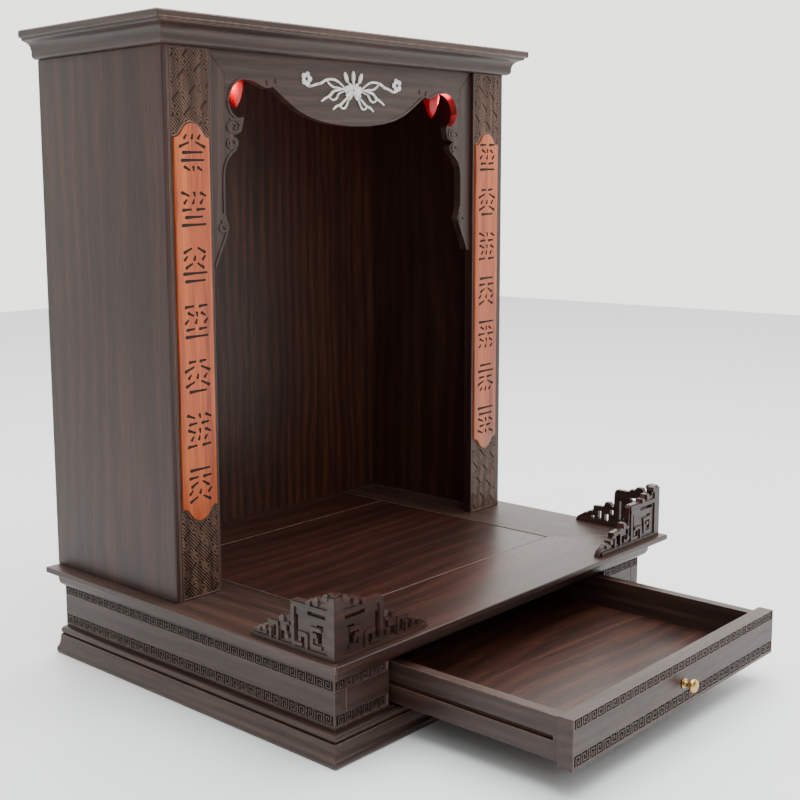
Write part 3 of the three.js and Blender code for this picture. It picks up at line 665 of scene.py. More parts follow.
stile_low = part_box("front_stile_right")[0]
side_middle = (FRIEZE_Y + BACK) / 2
side_length = BACK - FRIEZE_Y - 2 * BAND_END
stile_length = FRIEZE_X - stile_low[0] - 2 * BAND_END
stile_middle = (FRIEZE_X + stile_low[0]) / 2
drawer_length = drawer_high[0] - drawer_low[0] - 2 * BAND_END
add_band("key_bands_drawer", drawer_length, facing((0, drawer_low[1], 0), (1, 0, 0)),
         "drawer", wenge_across)
for side, word in SIDES:
    add_band("key_bands_stile_" + word, stile_length,
             facing((side * stile_middle, FRIEZE_Y, 0), (1, 0, 0)), "cabinet", wenge_across)
    add_band("key_bands_side_" + word, side_length,
             facing((side * FRIEZE_X, side_middle, 0), (0, side, 0)), "cabinet", wenge_deep)
print("hooks on the drawer", round(drawer_length / HOOK_PITCH))

# %% [markdown]
# ## Woven fret on the pillars
# The pillars carry a diagonal fret above and below each plaque: bundles of long parallel bars
# at 45 degrees, with rows of small square spirals between them. One tile holds a bundle and two
# spirals. Geometry Nodes lay the tile on a staggered grid, turn the grid by 45 degrees, and the
# result is trimmed to the sunken field and round the plaque.

# %% One tile of fret
FRET_STEP = 1.32 * MM             # width of a bar, and of a gap
TILE_STEPS = 16
SPIRAL = [(0.5, 0.5), (0.5, 6.5), (6.5, 6.5), (6.5, 0.5), (2.5, 0.5), (2.5, 4.5), (4.5, 4.5),
          (4.5, 2.5)]
FIELD_MARGIN = 2 * MM             # plain wood above and below the fields
FIELD_IN = 227 * MM               # the fields' inner and outer edges, from the middle
FIELD_OUT = 277 * MM
field_middle = (FIELD_IN + FIELD_OUT) / 2


def tile_mesh():
    """A bundle of four long bars over two square spirals that face each other."""
    form = bmesh.new()
    paths = [SPIRAL, [(15 - x, 7 - z) for x, z in SPIRAL]]
    paths += [[(0.2, row), (14.6, row)] for row in (8.5, 10.5, 12.5, 14.5)]
    for path in paths:
        outline = [p * FRET_STEP for p in bar_outline(path, 1.0)]
        add_prism(form, outline, RIDGE_TOP, FIELD_DEPTH)
    return plain_mesh("tile", outward(form))


def fret_tree():
    """Tiles on a staggered square grid in the standing plane."""
    tree = bpy.data.node_groups.new("woven fret", "GeometryNodeTree")
    given = add_inputs(tree, [("Tile", "Geometry"), ("Columns", "Int"), ("Rows", "Int"),
                              ("Width", "Float"), ("Height", "Float"), ("Pitch", "Float"),
                              ("Finish", "Material")])
    grid = add(tree, "GeometryNodeMeshGrid", {
        "Size X": given["Width"], "Size Y": given["Height"],
        "Vertices X": given["Columns"], "Vertices Y": given["Rows"]})
    position = add(tree, "GeometryNodeInputPosition").outputs[0]
    spot = add(tree, "ShaderNodeSeparateXYZ", {0: position})
    row = add(tree, "ShaderNodeMath", {0: spot.outputs["Y"], 1: given["Pitch"]},
              operation="DIVIDE")
    near_row = add(tree, "ShaderNodeMath", {0: row, 1: 0.25}, operation="ADD")
    whole = add(tree, "ShaderNodeMath", {0: near_row}, operation="FLOOR")
    odd = add(tree, "ShaderNodeMath", {0: whole, 1: 2.0}, operation="FLOORED_MODULO")
    shove = add(tree, "ShaderNodeMath", {0: odd, 1: given["Pitch"]},
                operation="MULTIPLY")
    part = add(tree, "ShaderNodeMath", {0: shove, 1: 0.5, 2: spot.outputs["X"]},
               operation="MULTIPLY_ADD")
    upright = add(tree, "ShaderNodeCombineXYZ", {
        "X": part, "Z": spot.outputs["Y"]})
    stood = add(tree, "GeometryNodeSetPosition", {
        "Geometry": grid, "Position": upright})
    tiles = add(tree, "GeometryNodeInstanceOnPoints", {
        "Points": stood, "Instance": given["Tile"]})
    real = add(tree, "GeometryNodeRealizeInstances", {"Geometry": tiles})
    dressed = add(tree, "GeometryNodeSetMaterial", {
        "Geometry": real, "Material": given["Finish"]})
    add(tree, "NodeGroupOutput", {"Geometry": dressed})
    return tree


woven_fret = fret_tree()
print("tile of", len(tile_mesh().polygons), "faces")

# %% [markdown]
# A plaque ends in a bracket-shaped arch: a hollow curve up from the shoulder, and a full one over
# the middle. The same outline, grown a little, trims the fret and guides the lip.

# %% The plaque's outline
PLAQUE_SHOULDER = 15 * MM         # height of the bracket-shaped end
plaque_low, plaque_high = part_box("plaque_right")
plaque_half = (plaque_high[0] - plaque_low[0]) / 2


def quadratic(start, control, end, steps):
    """Points on a quadratic curve, without its first."""
    points = []
    for i in range(1, steps + 1):
        t = i / steps
        points.append((1 - t) ** 2 * Vector(start) + 2 * t * (1 - t) * Vector(control)
                      + t * t * Vector(end))
    return points


def plaque_end(grow, steps=7):
    """The upper end, from the right shoulder over the middle to the left one."""
    half = plaque_half + grow
    top = plaque_high[2] + grow
    low = top - PLAQUE_SHOULDER
    knee = top - 0.62 * PLAQUE_SHOULDER
    points = [Vector((half, low))]
    points += quadratic((half, low), (0.72 * half, low), (0.6 * half, knee), steps)
    points += quadratic((0.6 * half, knee), (0.34 * half, top), (0, top), steps + 2)
    return points + [Vector((-p.x, p.y)) for p in points[-2::-1]]


def plaque_outline(grow):
    """The whole outline, about the pillar's middle line."""
    upper = plaque_end(grow)
    mid = (plaque_low[2] + plaque_high[2]) / 2
    lower = [Vector((-p.x, 2 * mid - p.y)) for p in upper]
    return upper + lower


print("plaque", round(2 * plaque_half / MM, 1), "mm wide")

# %% [markdown]
# The sheet of fret is cut to the two sunken fields, and the plaque with its lip is cut out of it.

# %% Laying the fret in its fields
FRET_TILES = 15                   # along each side of the sheet
UPPER_SHEET = 660 * MM            # height of the sheet's centre for the upper field
LOWER_SHEET = 140 * MM            # and for the lower one
FIELD_REACH = 5 * MM              # how far the cutting solids reach past the fret
PLAQUE_REACH = 6 * MM
FIELD_GAP = 0.05 * MM             # a hair's gap to the field's walls


def boolean(mesh, tool, operation):
    """Cut one closed mesh with another."""
    base = place_object("base", mesh)
    cutter = place_object("cutter", tool)
    modifier = base.modifiers.new("cut", "BOOLEAN")
    modifier.operation = operation
    modifier.object = cutter
    modifier.solver = "MANIFOLD"
    graph = bpy.context.evaluated_depsgraph_get()
    result = bpy.data.meshes.new_from_object(base.evaluated_get(graph), depsgraph=graph)
    base.modifiers.clear()
    for thing in (base, cutter):
        bpy.data.objects.remove(thing)
    return result


def prism_mesh(outline, front, back):
    """A closed solid from one outline, as a mesh."""
    form = bmesh.new()
    add_prism(form, outline, front, back)
    return plain_mesh("prism", outward(form))


def field_box(low, high):
    """The inside of a sunken field."""
    half = (FIELD_OUT - FIELD_IN) / 2 - FIELD_GAP
    return prism_mesh([(-half, low), (half, low), (half, high), (-half, high)],
                      -FIELD_REACH, FIELD_REACH)


def fret_sheet(finish, height):
    """A square sheet of fret at 45 degrees, with its centre at a height."""
    pitch = TILE_STEPS * FRET_STEP
    size = (FRET_TILES - 1) * pitch
    mesh = grown(tile_mesh(), woven_fret, {
        "Columns": FRET_TILES, "Rows": FRET_TILES, "Width": size, "Height": size,
        "Pitch": pitch, "Finish": finish})
    mesh.transform(Matrix.Rotation(math.radians(-45), 4, "Y"))
    mesh.transform(Matrix.Translation((0, 0, height)))
    return mesh


field_low = pillar_low[2] + FIELD_MARGIN
field_high = pillar_high[2] - FIELD_MARGIN
LIP = 2.4 * MM                    # the moulded lip round the plaque
mirror_x = Matrix.Scale(-1, 4, (1, 0, 0))


def fret_fields(finish):
    """Both fields of a pillar, trimmed to the sunken ground and round the plaque."""
    shoulder = PLAQUE_SHOULDER + 2 * MM
    fields = ((UPPER_SHEET, plaque_high[2] - shoulder, field_high),
              (LOWER_SHEET, field_low, plaque_low[2] + shoulder))
    form = bmesh.new()
    for height, low, high in fields:
        field = boolean(fret_sheet(finish, height), field_box(low, high), "INTERSECT")
        plaque = prism_mesh(plaque_outline(LIP), -PLAQUE_REACH, PLAQUE_REACH)
        form.from_mesh(boolean(field, plaque, "DIFFERENCE"))
    return form


for side, word in SIDES:
    form = fret_fields(wenge_fret)
    form.transform(Matrix.Translation((field_middle, pillar_low[1], 0)))
    if side < 0:
        form.transform(mirror_x)
        bmesh.ops.reverse_faces(form, faces=form.faces)
    piece = place_object("pillar_fret_" + word, finished_mesh("pillar_fret", form, 20),
                         [wenge_fret])
    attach(piece, "cabinet")
    print("fret", word, len(piece.data.polygons), "faces")

# %% [markdown]
# ## Plaques
# Each pillar carries a long plaque of oiled orange-brown rosewood with seven groups of carved
# strokes. The strokes are blackened. They are only strokes: short bars in rows that never cross,
# so they read as carving and not as letters. The plaque's face is cut with real grooves, and the
# cut faces take the black stain.

# %% Rosewood
def rosewood():
    """Oiled rosewood: bright orange-brown with darker fine lines, and a low sheen."""
    material, tree = new_material("oiled rosewood plaque")
    where = add(tree, "ShaderNodeTexCoord").outputs["Object"]
    sway = add(tree, "ShaderNodeTexNoise", {"Vector": where, "Scale": 12.0, "Detail": 2.0})
    bent = add(tree, "ShaderNodeVectorMath", {
        0: sway.outputs["Color"], 1: (0.012, 0.0, 0.0), 2: where}, operation="MULTIPLY_ADD")
    squeezed = add(tree, "ShaderNodeMapping", {
        "Vector": bent, "Scale": (1, 1, STRETCH)}).outputs["Vector"]
    line = add(tree, "ShaderNodeTexNoise", {
        "Vector": squeezed, "Scale": 1 / (2.6 * MM), "Detail": 4.0, "Roughness": 0.6})
    broad = add(tree, "ShaderNodeTexNoise", {
        "Vector": squeezed, "Scale": 1 / (14 * MM), "Detail": 1.0})
    mixed = add(tree, "ShaderNodeMix", {
        "Factor": 0.45, "A": line, "B": broad})
    ramp = add(tree, "ShaderNodeValToRGB", {"Fac": mixed})
    ramp.color_ramp.elements[0].position = 0.36
    ramp.color_ramp.elements[0].color = srgb("6E2A10")
    ramp.color_ramp.elements[1].position = 0.64
    ramp.color_ramp.elements[1].color = srgb("B85C26")
    ramp.color_ramp.elements.new(0.48).color = srgb("9C431A")
    bump = add(tree, "ShaderNodeBump", {
        "Height": line, "Strength": 0.4, "Distance": 0.1 * MM})
    shader = add(tree, "ShaderNodeBsdfPrincipled", {
        "Base Color": ramp, "Roughness": 0.45, "IOR": 1.5,
        "Normal": bump, "Coat Weight": 0.15, "Coat Roughness": 0.35})
    add(tree, "ShaderNodeOutputMaterial", {"Surface": shader})
    return material


plaque_wood = rosewood()
# Ink-black stain in the carved grooves: it soaks in unevenly and has no gloss.
stain = mottled("black stain in carving", 2 * MM, ("0D0705", "26130B"), 0.7, 1.45)
print("plaque finishes", plaque_wood.name, "and", stain.name)

# %% [markdown]
# A group is a few rows of strokes, and each row takes one kind from a short list. The kinds and the
# rows' widths are taken in turn, so neighbouring groups differ, but none of them means anything.

# %% Groups of strokes that aren't letters
GROUPS = 7
GROUP_HEIGHT = 40 * MM
GROUP_WIDTH = 36 * MM
ROWS_IN_GROUP = 5
STROKE = 4.2 * MM                 # width of a carved stroke
CUT_DEPTH = 0.9 * MM
STROKE_KINDS = {                  # ends of each stroke, in a row one unit wide and high
    "long": [((-0.5, -0.04), (0.5, 0.1))],
    "pair": [((-0.46, -0.1), (-0.08, 0.06)), ((0.1, -0.06), (0.46, 0.1))],
    "ticks": [((-0.42, -0.3), (-0.3, 0.3)), ((-0.02, -0.32), (0.02, 0.3)),
              ((0.3, -0.3), (0.42, 0.3))],
    "fall": [((-0.5, -0.34), (-0.12, 0.34)), ((0.5, -0.34), (0.12, 0.34))],
    "lean": [((-0.46, 0.22), (-0.14, -0.24)), ((0.02, 0.28), (0.06, -0.3)),
             ((0.24, 0.16), (0.48, -0.26))],
}
KIND_ORDER = ("ticks", "long", "pair", "fall", "long", "lean", "long", "pair", "ticks",
              "long", "fall", "pair", "lean")
ROW_WIDTHS = (0.72, 1.0, 0.84, 0.94)


def wedge(start, end, width):
    """A brush-like stroke: a full head that thins towards its tail."""
    start, end = Vector(start), Vector(end)
    way = (end - start).normalized()
    side = Vector((-way.y, way.x))
    length = (end - start).length
    return [start - way * width * 0.25, start + way * width * 0.15 + side * width * 0.56,
            start + way * length * 0.55 + side * width * 0.34,
            end + side * width * 0.24, end + way * width * 0.3,
            end - side * width * 0.36, start + way * length * 0.5 - side * width * 0.32,
            start + way * width * 0.1 - side * width * 0.48]


def group_strokes(number, middle):
    """The outlines of one group, row by row from its top."""
    outlines = []
    row_height = GROUP_HEIGHT / ROWS_IN_GROUP
    for row in range(ROWS_IN_GROUP):
        kind = KIND_ORDER[(number * 5 + row * 3) % len(KIND_ORDER)]
        z = middle + GROUP_HEIGHT / 2 - (row + 0.5) * row_height
        wide = GROUP_WIDTH * ROW_WIDTHS[(number + row) % len(ROW_WIDTHS)]
        for start, end in STROKE_KINDS[kind]:
            points = [Vector((x * wide, z + v * row_height)) for x, v in (start, end)]
            outlines.append(wedge(points[0], points[1], STROKE))
    return outlines


print("strokes in the first group", len(group_strokes(0, 0)))

# %% [markdown]
# The strokes are closed wedges that are cut out of the plaque in one go. The walls and bottoms of
# the cuts are told from the rest by their depth, and take the stain.

# %% Cutting the plaques
STROKES_TOP = 583 * MM            # middle of the first group
STROKES_LOW = 233 * MM            # middle of the last
TAPER = 0.8                       # the groove's bottom is narrower than its mouth
PLAQUE_EDGE = 0.7 * MM            # the plaque's rounded front edge


def plaque_mesh(first):
    """A plaque about the pillar's middle line, with its strokes cut in."""
    body = bmesh.new()
    add_prism(body, plaque_outline(0), plaque_low[1], plaque_high[1])
    outward(body)
    front = plaque_low[1] + 0.01 * MM
    front_edges = [e for e in body.edges if all(v.co.y < front for v in e.verts)]
    bmesh.ops.bevel(body, geom=front_edges, offset=PLAQUE_EDGE, segments=3, affect="EDGES",
                    profile=0.5)
    mesh = plain_mesh("plaque body", body)
    cutter = bmesh.new()
    step = (STROKES_TOP - STROKES_LOW) / (GROUPS - 1)
    for i in range(GROUPS):
        for outline in group_strokes(first + i, STROKES_TOP - i * step):
            add_prism(cutter, outline, plaque_low[1] - 1 * MM, plaque_low[1] + CUT_DEPTH, TAPER)
    return boolean(mesh, plain_mesh("strokes", outward(cutter)), "DIFFERENCE")


for side, word, first in ((1, "right", 3), (-1, "left", 0)):
    carved = plaque_mesh(first)
    carved.transform(Matrix.Translation((side * field_middle, 0, 0)))
    carved.materials.clear()
    piece = place_object("plaque_carved_" + word, carved, [plaque_wood, stain])
    for face in carved.polygons:
        inside = abs(face.center.x - side * field_middle) < plaque_half - 1.5 * MM
        deep = plaque_low[1] + 0.05 * MM < face.center.y < plaque_low[1] + CUT_DEPTH + 0.1 * MM
        face.material_index = 1 if inside and deep else 0
    carved.shade_smooth()
    carved.set_sharp_from_angle(angle=math.radians(25))
    settle(piece, ["plaque_" + word])
    print("plaque", word, len(carved.polygons), "faces")

# %% [markdown]
# ## Swept beads
# The carver leaves a rounded bead along every shaped edge. A bead is a domed section that
# follows a path, thick in the middle and thin at its ends where it runs out. The same helper
# makes the lips of the plaques and, further on, the pearl stems.

# %% Sweep helper
BEAD_FOOT = 0.3 * MM              # how deep a bead's foot sits in what carries it


def sweep(form, path, width, height, face, sides=6, closed=False, thin=1.0):
    """A domed bar along a path in the standing plane. It bulges from the face towards -y."""
    points = [Vector(p) for p in path]
    count = len(points)
    rings = []
    for i, point in enumerate(points):
        before = points[(i - 1) % count] if closed or i > 0 else point
        after = points[(i + 1) % count] if closed or i < count - 1 else point
        way = (after - before).normalized()
        side = Vector((-way.y, way.x))
        at = 1.0 if closed else 1 - (1 - thin) * abs(2 * i / (count - 1) - 1) ** 2
        ring = []
        for k in range(sides + 1):
            angle = math.pi * k / sides
            spot = point + side * (width * at / 2 * math.cos(angle))
            ring.append(form.verts.new((spot.x, face - height * at * math.sin(angle), spot.y)))
        for sign in (-1, 1):
            spot = point + side * (sign * width * at / 2)
            ring.append(form.verts.new((spot.x, face + BEAD_FOOT, spot.y)))
        rings.append(ring)
    spans = count if closed else count - 1
    for i in range(spans):
        here, there = rings[i], rings[(i + 1) % count]
        for k in range(len(here)):
            n = (k + 1) % len(here)
            form.faces.new((here[k], here[n], there[n], there[k]))
    if not closed:
        form.faces.new(rings[0])
        form.faces.new(rings[-1][::-1])


def spline(points, steps=6):
    """A smooth path through some points."""
    knots = [Vector(p) for p in points]
    knots = [2 * knots[0] - knots[1]] + knots + [2 * knots[-1] - knots[-2]]
    path = [knots[1]]
    for i in range(1, len(knots) - 2):
        a, b, c, d = knots[i - 1:i + 3]
        for s in range(1, steps + 1):
            t = s / steps
            path.append(0.5 * (2 * b + (c - a) * t + (2 * a - 5 * b + 4 * c - d) * t * t
                               + (3 * b - a - 3 * c + d) * t ** 3))
    return path


print("sweep helpers ready")

# %% Plaque lips
LIP_OUT = 1.25 * MM               # the lip's middle line, out from the plaque's edge
LIP_WIDTH = 2 * MM
LIP_HEIGHT = 1.1 * MM
LIP_SUNK = 0.6 * MM               # its foot lies this far under the pillar's face

for side, word in SIDES:
    form = bmesh.new()
    mid = (plaque_low[2] + plaque_high[2]) / 2
    for upper in (True, False):
        arch = plaque_end(LIP_OUT)
        if not upper:
            arch = [Vector((p.x, 2 * mid - p.y)) for p in arch]
        sweep(form, arch, LIP_WIDTH, LIP_HEIGHT, pillar_low[1] + LIP_SUNK)
    outward(form)
    form.transform(Matrix.Translation((side * field_middle, 0, 0)))
    lip = finished_mesh("plaque_lip", form, 40)
    # The lip takes the edge wood, which is paler partly as a painted highlight.
    piece = place_object("plaque_lip_" + word, lip, [edge_wear_and_highlight])
    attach(piece, "cabinet")
print("plaque lips made")

# %% [markdown]
# ## Pearl inlay
# The ornament on the valance is mother-of-pearl: thin shell, sawn to shape, laid in the wood and
# polished, so each part is slightly domed. It is built from petals and stems. Shell is mostly
# white, and its layers split the light into faint pink and green.

# %% Mother-of-pearl
def pearl_finish():
    """Polished shell: pale, with soft clouds of pink and green and a thin-film sheen."""
    material, tree = new_material("mother-of-pearl")
    where = add(tree, "ShaderNodeTexCoord").outputs["Object"]
    cloud = add(tree, "ShaderNodeTexNoise", {
        "Vector": where, "Scale": 1 / (5 * MM), "Detail": 3.0, "Distortion": 1.2})
    ramp = add(tree, "ShaderNodeValToRGB", {"Fac": cloud})
    ramp.color_ramp.elements[0].position = 0.3
    ramp.color_ramp.elements[0].color = srgb("8F8F86")
    ramp.color_ramp.elements[1].position = 0.68
    ramp.color_ramp.elements[1].color = srgb("F0ECE4")
    ramp.color_ramp.elements.new(0.45).color = srgb("C9D2C8")
    ramp.color_ramp.elements.new(0.55).color = srgb("E3D6D4")
    shader = add(tree, "ShaderNodeBsdfPrincipled", {
        "Base Color": ramp, "Roughness": 0.28, "IOR": 1.53,
        "Coat Weight": 0.5, "Coat Roughness": 0.12})
    add(tree, "ShaderNodeOutputMaterial", {"Surface": shader})
    return material


pearl = pearl_finish()
inlay_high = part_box("inlay_ornament")[1]
PEARL_THICK = 1.2 * MM
BOSS_Z = 656.5                    # height of the boss's middle, in mm
STEMS = [                         # x and z along each stem on the right, in mm, and its width
    ([(12, 658), (23, 665), (33, 668.6), (46, 667.5), (54, 663.5), (63, 661.5), (72, 659),
      (79, 661), (82, 664)], 3.4),
    ([(14, 657), (25, 659.5), (34, 660), (41, 663.5), (45, 667)], 2.6),
    ([(16, 659), (26, 657), (34, 655), (40, 650), (47, 647), (54, 643)], 3.4),
    ([(16, 656), (25, 653), (29, 647.5), (35, 645.5), (41, 648.5)], 2.6),
    ([(9, 650), (16, 645), (22, 640.5), (29, 638.5), (35, 634.5)], 3.4),
    ([(8, 648), (11, 642), (15, 637), (20, 637), (24, 640)], 2.6),
]
print("pearl", pearl.name)

# %% [markdown]
# A petal is a low oval dome. Two rings of them make the boss, three longer ones stand above it,
# and five round ones make the blossom at the end of each side.

# %% Petals
def add_dome(form, centre, half_size, turn=0.0, height=0.9 * MM, rings=3, spokes=12):
    """A low oval dome, such as a petal or a button of shell, closed behind."""
    face = inlay_high[1]
    middle = Vector(centre)
    circles = []
    for ring in range(rings + 1):
        lift = math.cos(ring / rings * math.pi / 2)
        reach = math.sin(ring / rings * math.pi / 2)
        if ring == 0:
            circles.append([form.verts.new((middle.x, face - PEARL_THICK - height, middle.y))])
            continue
        circle = []
        for k in range(spokes):
            angle = 2 * math.pi * k / spokes
            x = half_size[0] * reach * math.cos(angle)
            z = half_size[1] * reach * math.sin(angle)
            spot = middle + Vector((x * math.cos(turn) - z * math.sin(turn),
                                    x * math.sin(turn) + z * math.cos(turn)))
            circle.append(form.verts.new((spot.x, face - PEARL_THICK * 0.7 - height * lift, spot.y)))
        circles.append(circle)
    base = [form.verts.new((v.co.x, face, v.co.z)) for v in circles[-1]]
    for k in range(spokes):
        n = (k + 1) % spokes
        form.faces.new((circles[0][0], circles[1][k], circles[1][n]))
        for ring in range(1, rings):
            form.faces.new((circles[ring][k], circles[ring + 1][k], circles[ring + 1][n],
                            circles[ring][n]))
        form.faces.new((circles[-1][k], base[k], base[n], circles[-1][n]))
    form.faces.new(base)


print("petals ready")

# %% The whole ornament
OUTER_RING = (10.2, 7)            # half width and half height of a ring of petals, in mm
INNER_RING = (5, 3.6)
INNER_LIFT = 0.8                  # the inner ring sits this much higher, in mm
LEAVES = [(0, 0, 23.5), (9.5, 5.5, 21.5)]  # foot's x, lean and top of a standing petal, in mm
LEAF_FOOT = 9                     # height of its foot over the boss's middle, in mm
BLOSSOM = (77.5, 667)             # middle of the blossom on the right, in mm
BLOSSOM_RADIUS = 5.2
BLOSSOM_PETALS = 5


def add_boss(form):
    """Two rings of petals, one inside the other."""
    wide, tall = OUTER_RING
    for i in range(11):
        angle = math.radians(-62 + i * 30.4)
        spot = (wide * MM * math.cos(angle), (BOSS_Z + tall * math.sin(angle)) * MM)
        outwards = math.atan2(tall * math.sin(angle), wide * math.cos(angle))
        add_dome(form, spot, (4.6 * MM, 2.3 * MM), outwards)
    wide, tall = INNER_RING
    for i in range(8):
        angle = math.radians(20 + i * 45)
        spot = (wide * MM * math.cos(angle), (BOSS_Z + INNER_LIFT + tall * math.sin(angle)) * MM)
        add_dome(form, spot, (3 * MM, 2 * MM), angle, height=1.2 * MM)


def add_leaf(form, side, x, lean, top):
    """A standing petal. It leans outwards by a distance."""
    low = Vector((side * x * MM, (BOSS_Z + LEAF_FOOT) * MM))
    high = Vector((side * (x + lean) * MM, (BOSS_Z + top) * MM))
    way = high - low
    add_dome(form, (low + high) / 2, (way.length / 2, 3 * MM), math.atan2(way.y, way.x))


def add_stems(form, side):
    """The stems of one side. Each thins towards its ends."""
    for path, width in STEMS:
        points = spline([(side * x * MM, z * MM) for x, z in path], 5)
        sweep(form, points, width * MM, PEARL_THICK + 0.6 * MM, inlay_high[1] - 0.3 * MM,
              thin=0.55)


def add_blossom(form, side):
    """Five round petals about a point."""
    for i in range(BLOSSOM_PETALS):
        angle = (i / BLOSSOM_PETALS + 0.1) * 2 * math.pi
        x = BLOSSOM[0] + BLOSSOM_RADIUS * math.cos(angle)
        z = BLOSSOM[1] + BLOSSOM_RADIUS * math.sin(angle)
        add_dome(form, (side * x * MM, z * MM), (3.4 * MM, 3.4 * MM))


form = bmesh.new()
add_boss(form)
for side in (-1, 1):
    for x, lean, top in LEAVES:
        if x > 0 or side > 0:
            add_leaf(form, side, x, lean, top)
    add_stems(form, side)
    add_blossom(form, side)
outward(form)
piece = place_object("inlay_pearl", finished_mesh("inlay_pearl", form, 50), [pearl])
settle(piece, ["inlay_ornament"])
print("pearl inlay", len(piece.data.polygons), "faces")

# %% [markdown]
# ## Lamps
# Two candle-shaped lamps hang behind the arches. Each is a red translucent bulb with a few
# bright points inside, so it glows unevenly, and it throws red light on the carving near it.

# %% Bulbs and their light
BULB_PROFILE = [(0, 0), (1.3, 0.4), (2.6, 1.6), (4.2, 4.2), (5.8, 7.6), (7.4, 12), (8.8, 17),
                (9.7, 22), (10, 26), (9.9, 29), (9.2, 32.4), (8, 35), (6.6, 36.6), (5.6, 37),
                (0, 37)]


def red_bulb_finish():
    """Ruby plastic lit from inside: deep red, with hot spots where its diodes sit."""
    material, tree = new_material("lit ruby plastic")
    where = add(tree, "ShaderNodeTexCoord").outputs["Object"]
    height = add(tree, "ShaderNodeSeparateXYZ", {0: where}).outputs["Z"]
    share = add(tree, "ShaderNodeMapRange", {
        "Value": height, "From Min": bulb_low[2], "From Max": bulb_high[2]})
    spots = add(tree, "ShaderNodeTexVoronoi", {"Vector": where, "Scale": 1 / (11 * MM)})
    glow = add(tree, "ShaderNodeMapRange", {
        "Value": spots, "From Min": 0.0, "From Max": 0.45,
        "To Min": 1.0, "To Max": 0.0})
    sharp = add(tree, "ShaderNodeMath", {0: glow, 1: 2.5}, operation="POWER")
    colour = add(tree, "ShaderNodeMix", {
        "Factor": sharp, "A": srgb("E0001C"), "B": srgb("FF5A6E")}, data_type="RGBA")
    power = add(tree, "ShaderNodeMapRange", {
        "Value": sharp, "To Min": 0.12, "To Max": 2.2})
    fade = add(tree, "ShaderNodeMapRange", {
        "Value": share, "To Min": 0.5, "To Max": 1.0})
    total = add(tree, "ShaderNodeMath", {0: power, 1: fade},
                operation="MULTIPLY")
    shader = add(tree, "ShaderNodeBsdfPrincipled", {
        "Base Color": srgb("A00012"), "Roughness": 0.12, "IOR": 1.49,
        "Emission Color": colour, "Emission Strength": total})
    add(tree, "ShaderNodeOutputMaterial", {"Surface": shader})
    return material


def turned(profile, middle, steps=32):
    """A solid of revolution about an upright axis, closed at both ends."""
    form = bmesh.new()
    rings = []
    for r, z in profile:
        if r == 0:
            rings.append([form.verts.new((middle[0], middle[1], middle[2] + z * MM))])
        else:
            rings.append([form.verts.new((
                middle[0] + r * MM * math.cos(2 * math.pi * k / steps),
                middle[1] + r * MM * math.sin(2 * math.pi * k / steps),
                middle[2] + z * MM)) for k in range(steps)])
    for low, high in zip(rings, rings[1:]):
        for k in range(steps):
            n = (k + 1) % steps
            ends = [low[k % len(low)], low[n % len(low)], high[n % len(high)],
                    high[k % len(high)]]
            form.faces.new(list(dict.fromkeys(ends)))
    return outward(form)


GLOW_WATTS = 0.12
GLOW_COLOUR = (1.0, 0.02, 0.06)   # linear
GLOW_SIDE = 14 * MM               # the light sits outside, in front of and over the bulb's foot
GLOW_FORWARD = 9 * MM
GLOW_UP = 22 * MM

bulb_low, bulb_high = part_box("bulb_right")
ruby = red_bulb_finish()
for side, word in SIDES:
    low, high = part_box("bulb_" + word)
    middle = ((low[0] + high[0]) / 2, (low[1] + high[1]) / 2, low[2])
    piece = place_object("bulb_lit_" + word,
                         finished_mesh("bulb", turned(BULB_PROFILE, middle), 40), [ruby])
    settle(piece, ["bulb_" + word])
    glow = bpy.data.lights.new("glow_" + word, "POINT")
    glow.energy = GLOW_WATTS
    glow.color = GLOW_COLOUR
    glow.shadow_soft_size = 9 * MM
    thing = place_object("glow_" + word, glow)
    thing.location = (middle[0] + side * GLOW_SIDE, middle[1] - GLOW_FORWARD,
                      middle[2] + GLOW_UP)
print("bulbs", round((bulb_high[2] - bulb_low[2]) / MM, 1), "mm tall")

# %% [markdown]
# ## Brass knob
# A small turned knob on a rose pulls the drawer. It is solid brass, turned and polished, and
# handled enough to be a little dull.

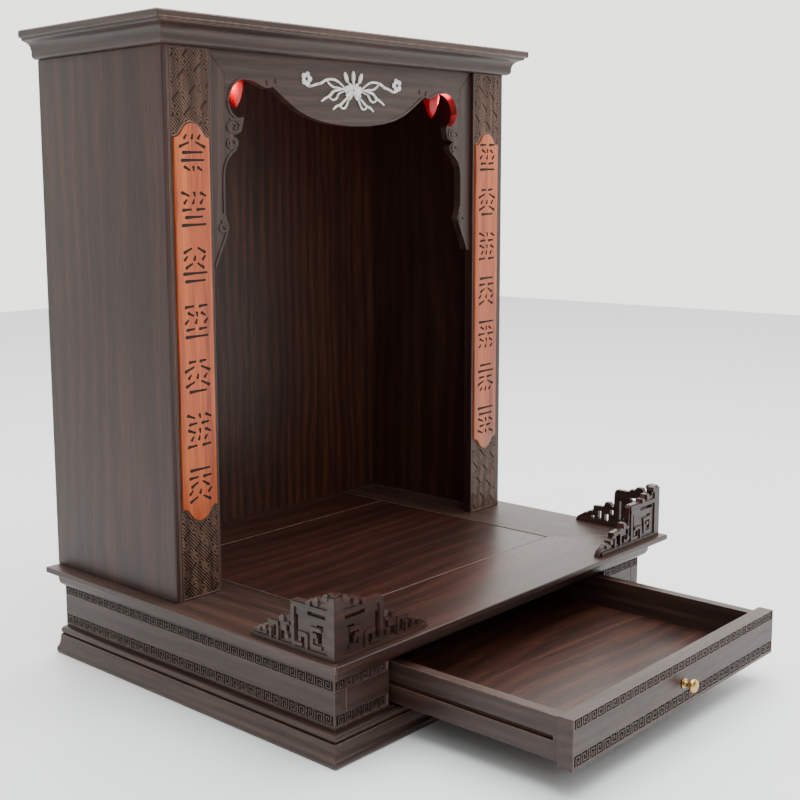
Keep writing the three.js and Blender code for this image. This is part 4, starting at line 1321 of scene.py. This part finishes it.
# %% Brass and the knob
def brass_finish():
    """Polished brass with a thin brown tarnish where fingers don't reach."""
    material, tree = new_material("turned brass")
    where = add(tree, "ShaderNodeTexCoord").outputs["Object"]
    tarnish = add(tree, "ShaderNodeTexNoise", {
        "Vector": where, "Scale": 1 / (3 * MM), "Detail": 3.0})
    tint = add(tree, "ShaderNodeMix", {
        "Factor": tarnish, "A": srgb("8C6A38"), "B": srgb("D9B777")},
        data_type="RGBA")
    gloss = add(tree, "ShaderNodeMapRange", {
        "Value": tarnish, "To Min": 0.38, "To Max": 0.18})
    shader = add(tree, "ShaderNodeBsdfPrincipled", {
        "Base Color": tint, "Metallic": 1.0,
        "Roughness": gloss})
    add(tree, "ShaderNodeOutputMaterial", {"Surface": shader})
    return material


brass = brass_finish()
ROSE_PROFILE = [(0, 0), (5.2, 0), (5.4, 0.3), (5.3, 0.7), (4.6, 1.1), (3.6, 1.4), (0, 1.4)]
KNOB_PROFILE = [(0, 1.7), (3.2, 1.7), (3.0, 2.4), (2.6, 4), (2.7, 5.6), (3.3, 7), (4.8, 8),
                (6.4, 8.6), (7.1, 9.4), (7.2, 10.4), (6.9, 11.5), (6, 12.6), (4.6, 13.4),
                (2.8, 13.9), (0, 14.1)]
rose_low, rose_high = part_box("knob_rose")
knob_z = (rose_low[2] + rose_high[2]) / 2
for node, profile in (("knob_rose", ROSE_PROFILE), ("drawer_knob", KNOB_PROFILE)):
    form = turned(profile, (0, 0, 0), 40)
    form.transform(Matrix.Translation((0, rose_high[1], knob_z))
                   @ Matrix.Rotation(math.radians(90), 4, "X"))
    piece = place_object(node + "_brass", finished_mesh(node, form, 35), [brass])
    settle(piece, [node])
print("knob", len(KNOB_PROFILE), "rings")

# %% [markdown]
# ## Lamp sockets
# Each bulb sits in a black phenolic holder. Its moulded surface has a slightly uneven sheen.

# %% Lamp sockets
bakelite = mottled("moulded black plastic", 4 * MM, ("0E0C0B", "1F1B18"), 0.4, 1.52)
for word in ("right", "left"):
    softened("lamp_socket_" + word, bakelite, edge=bakelite)
print("sockets made")
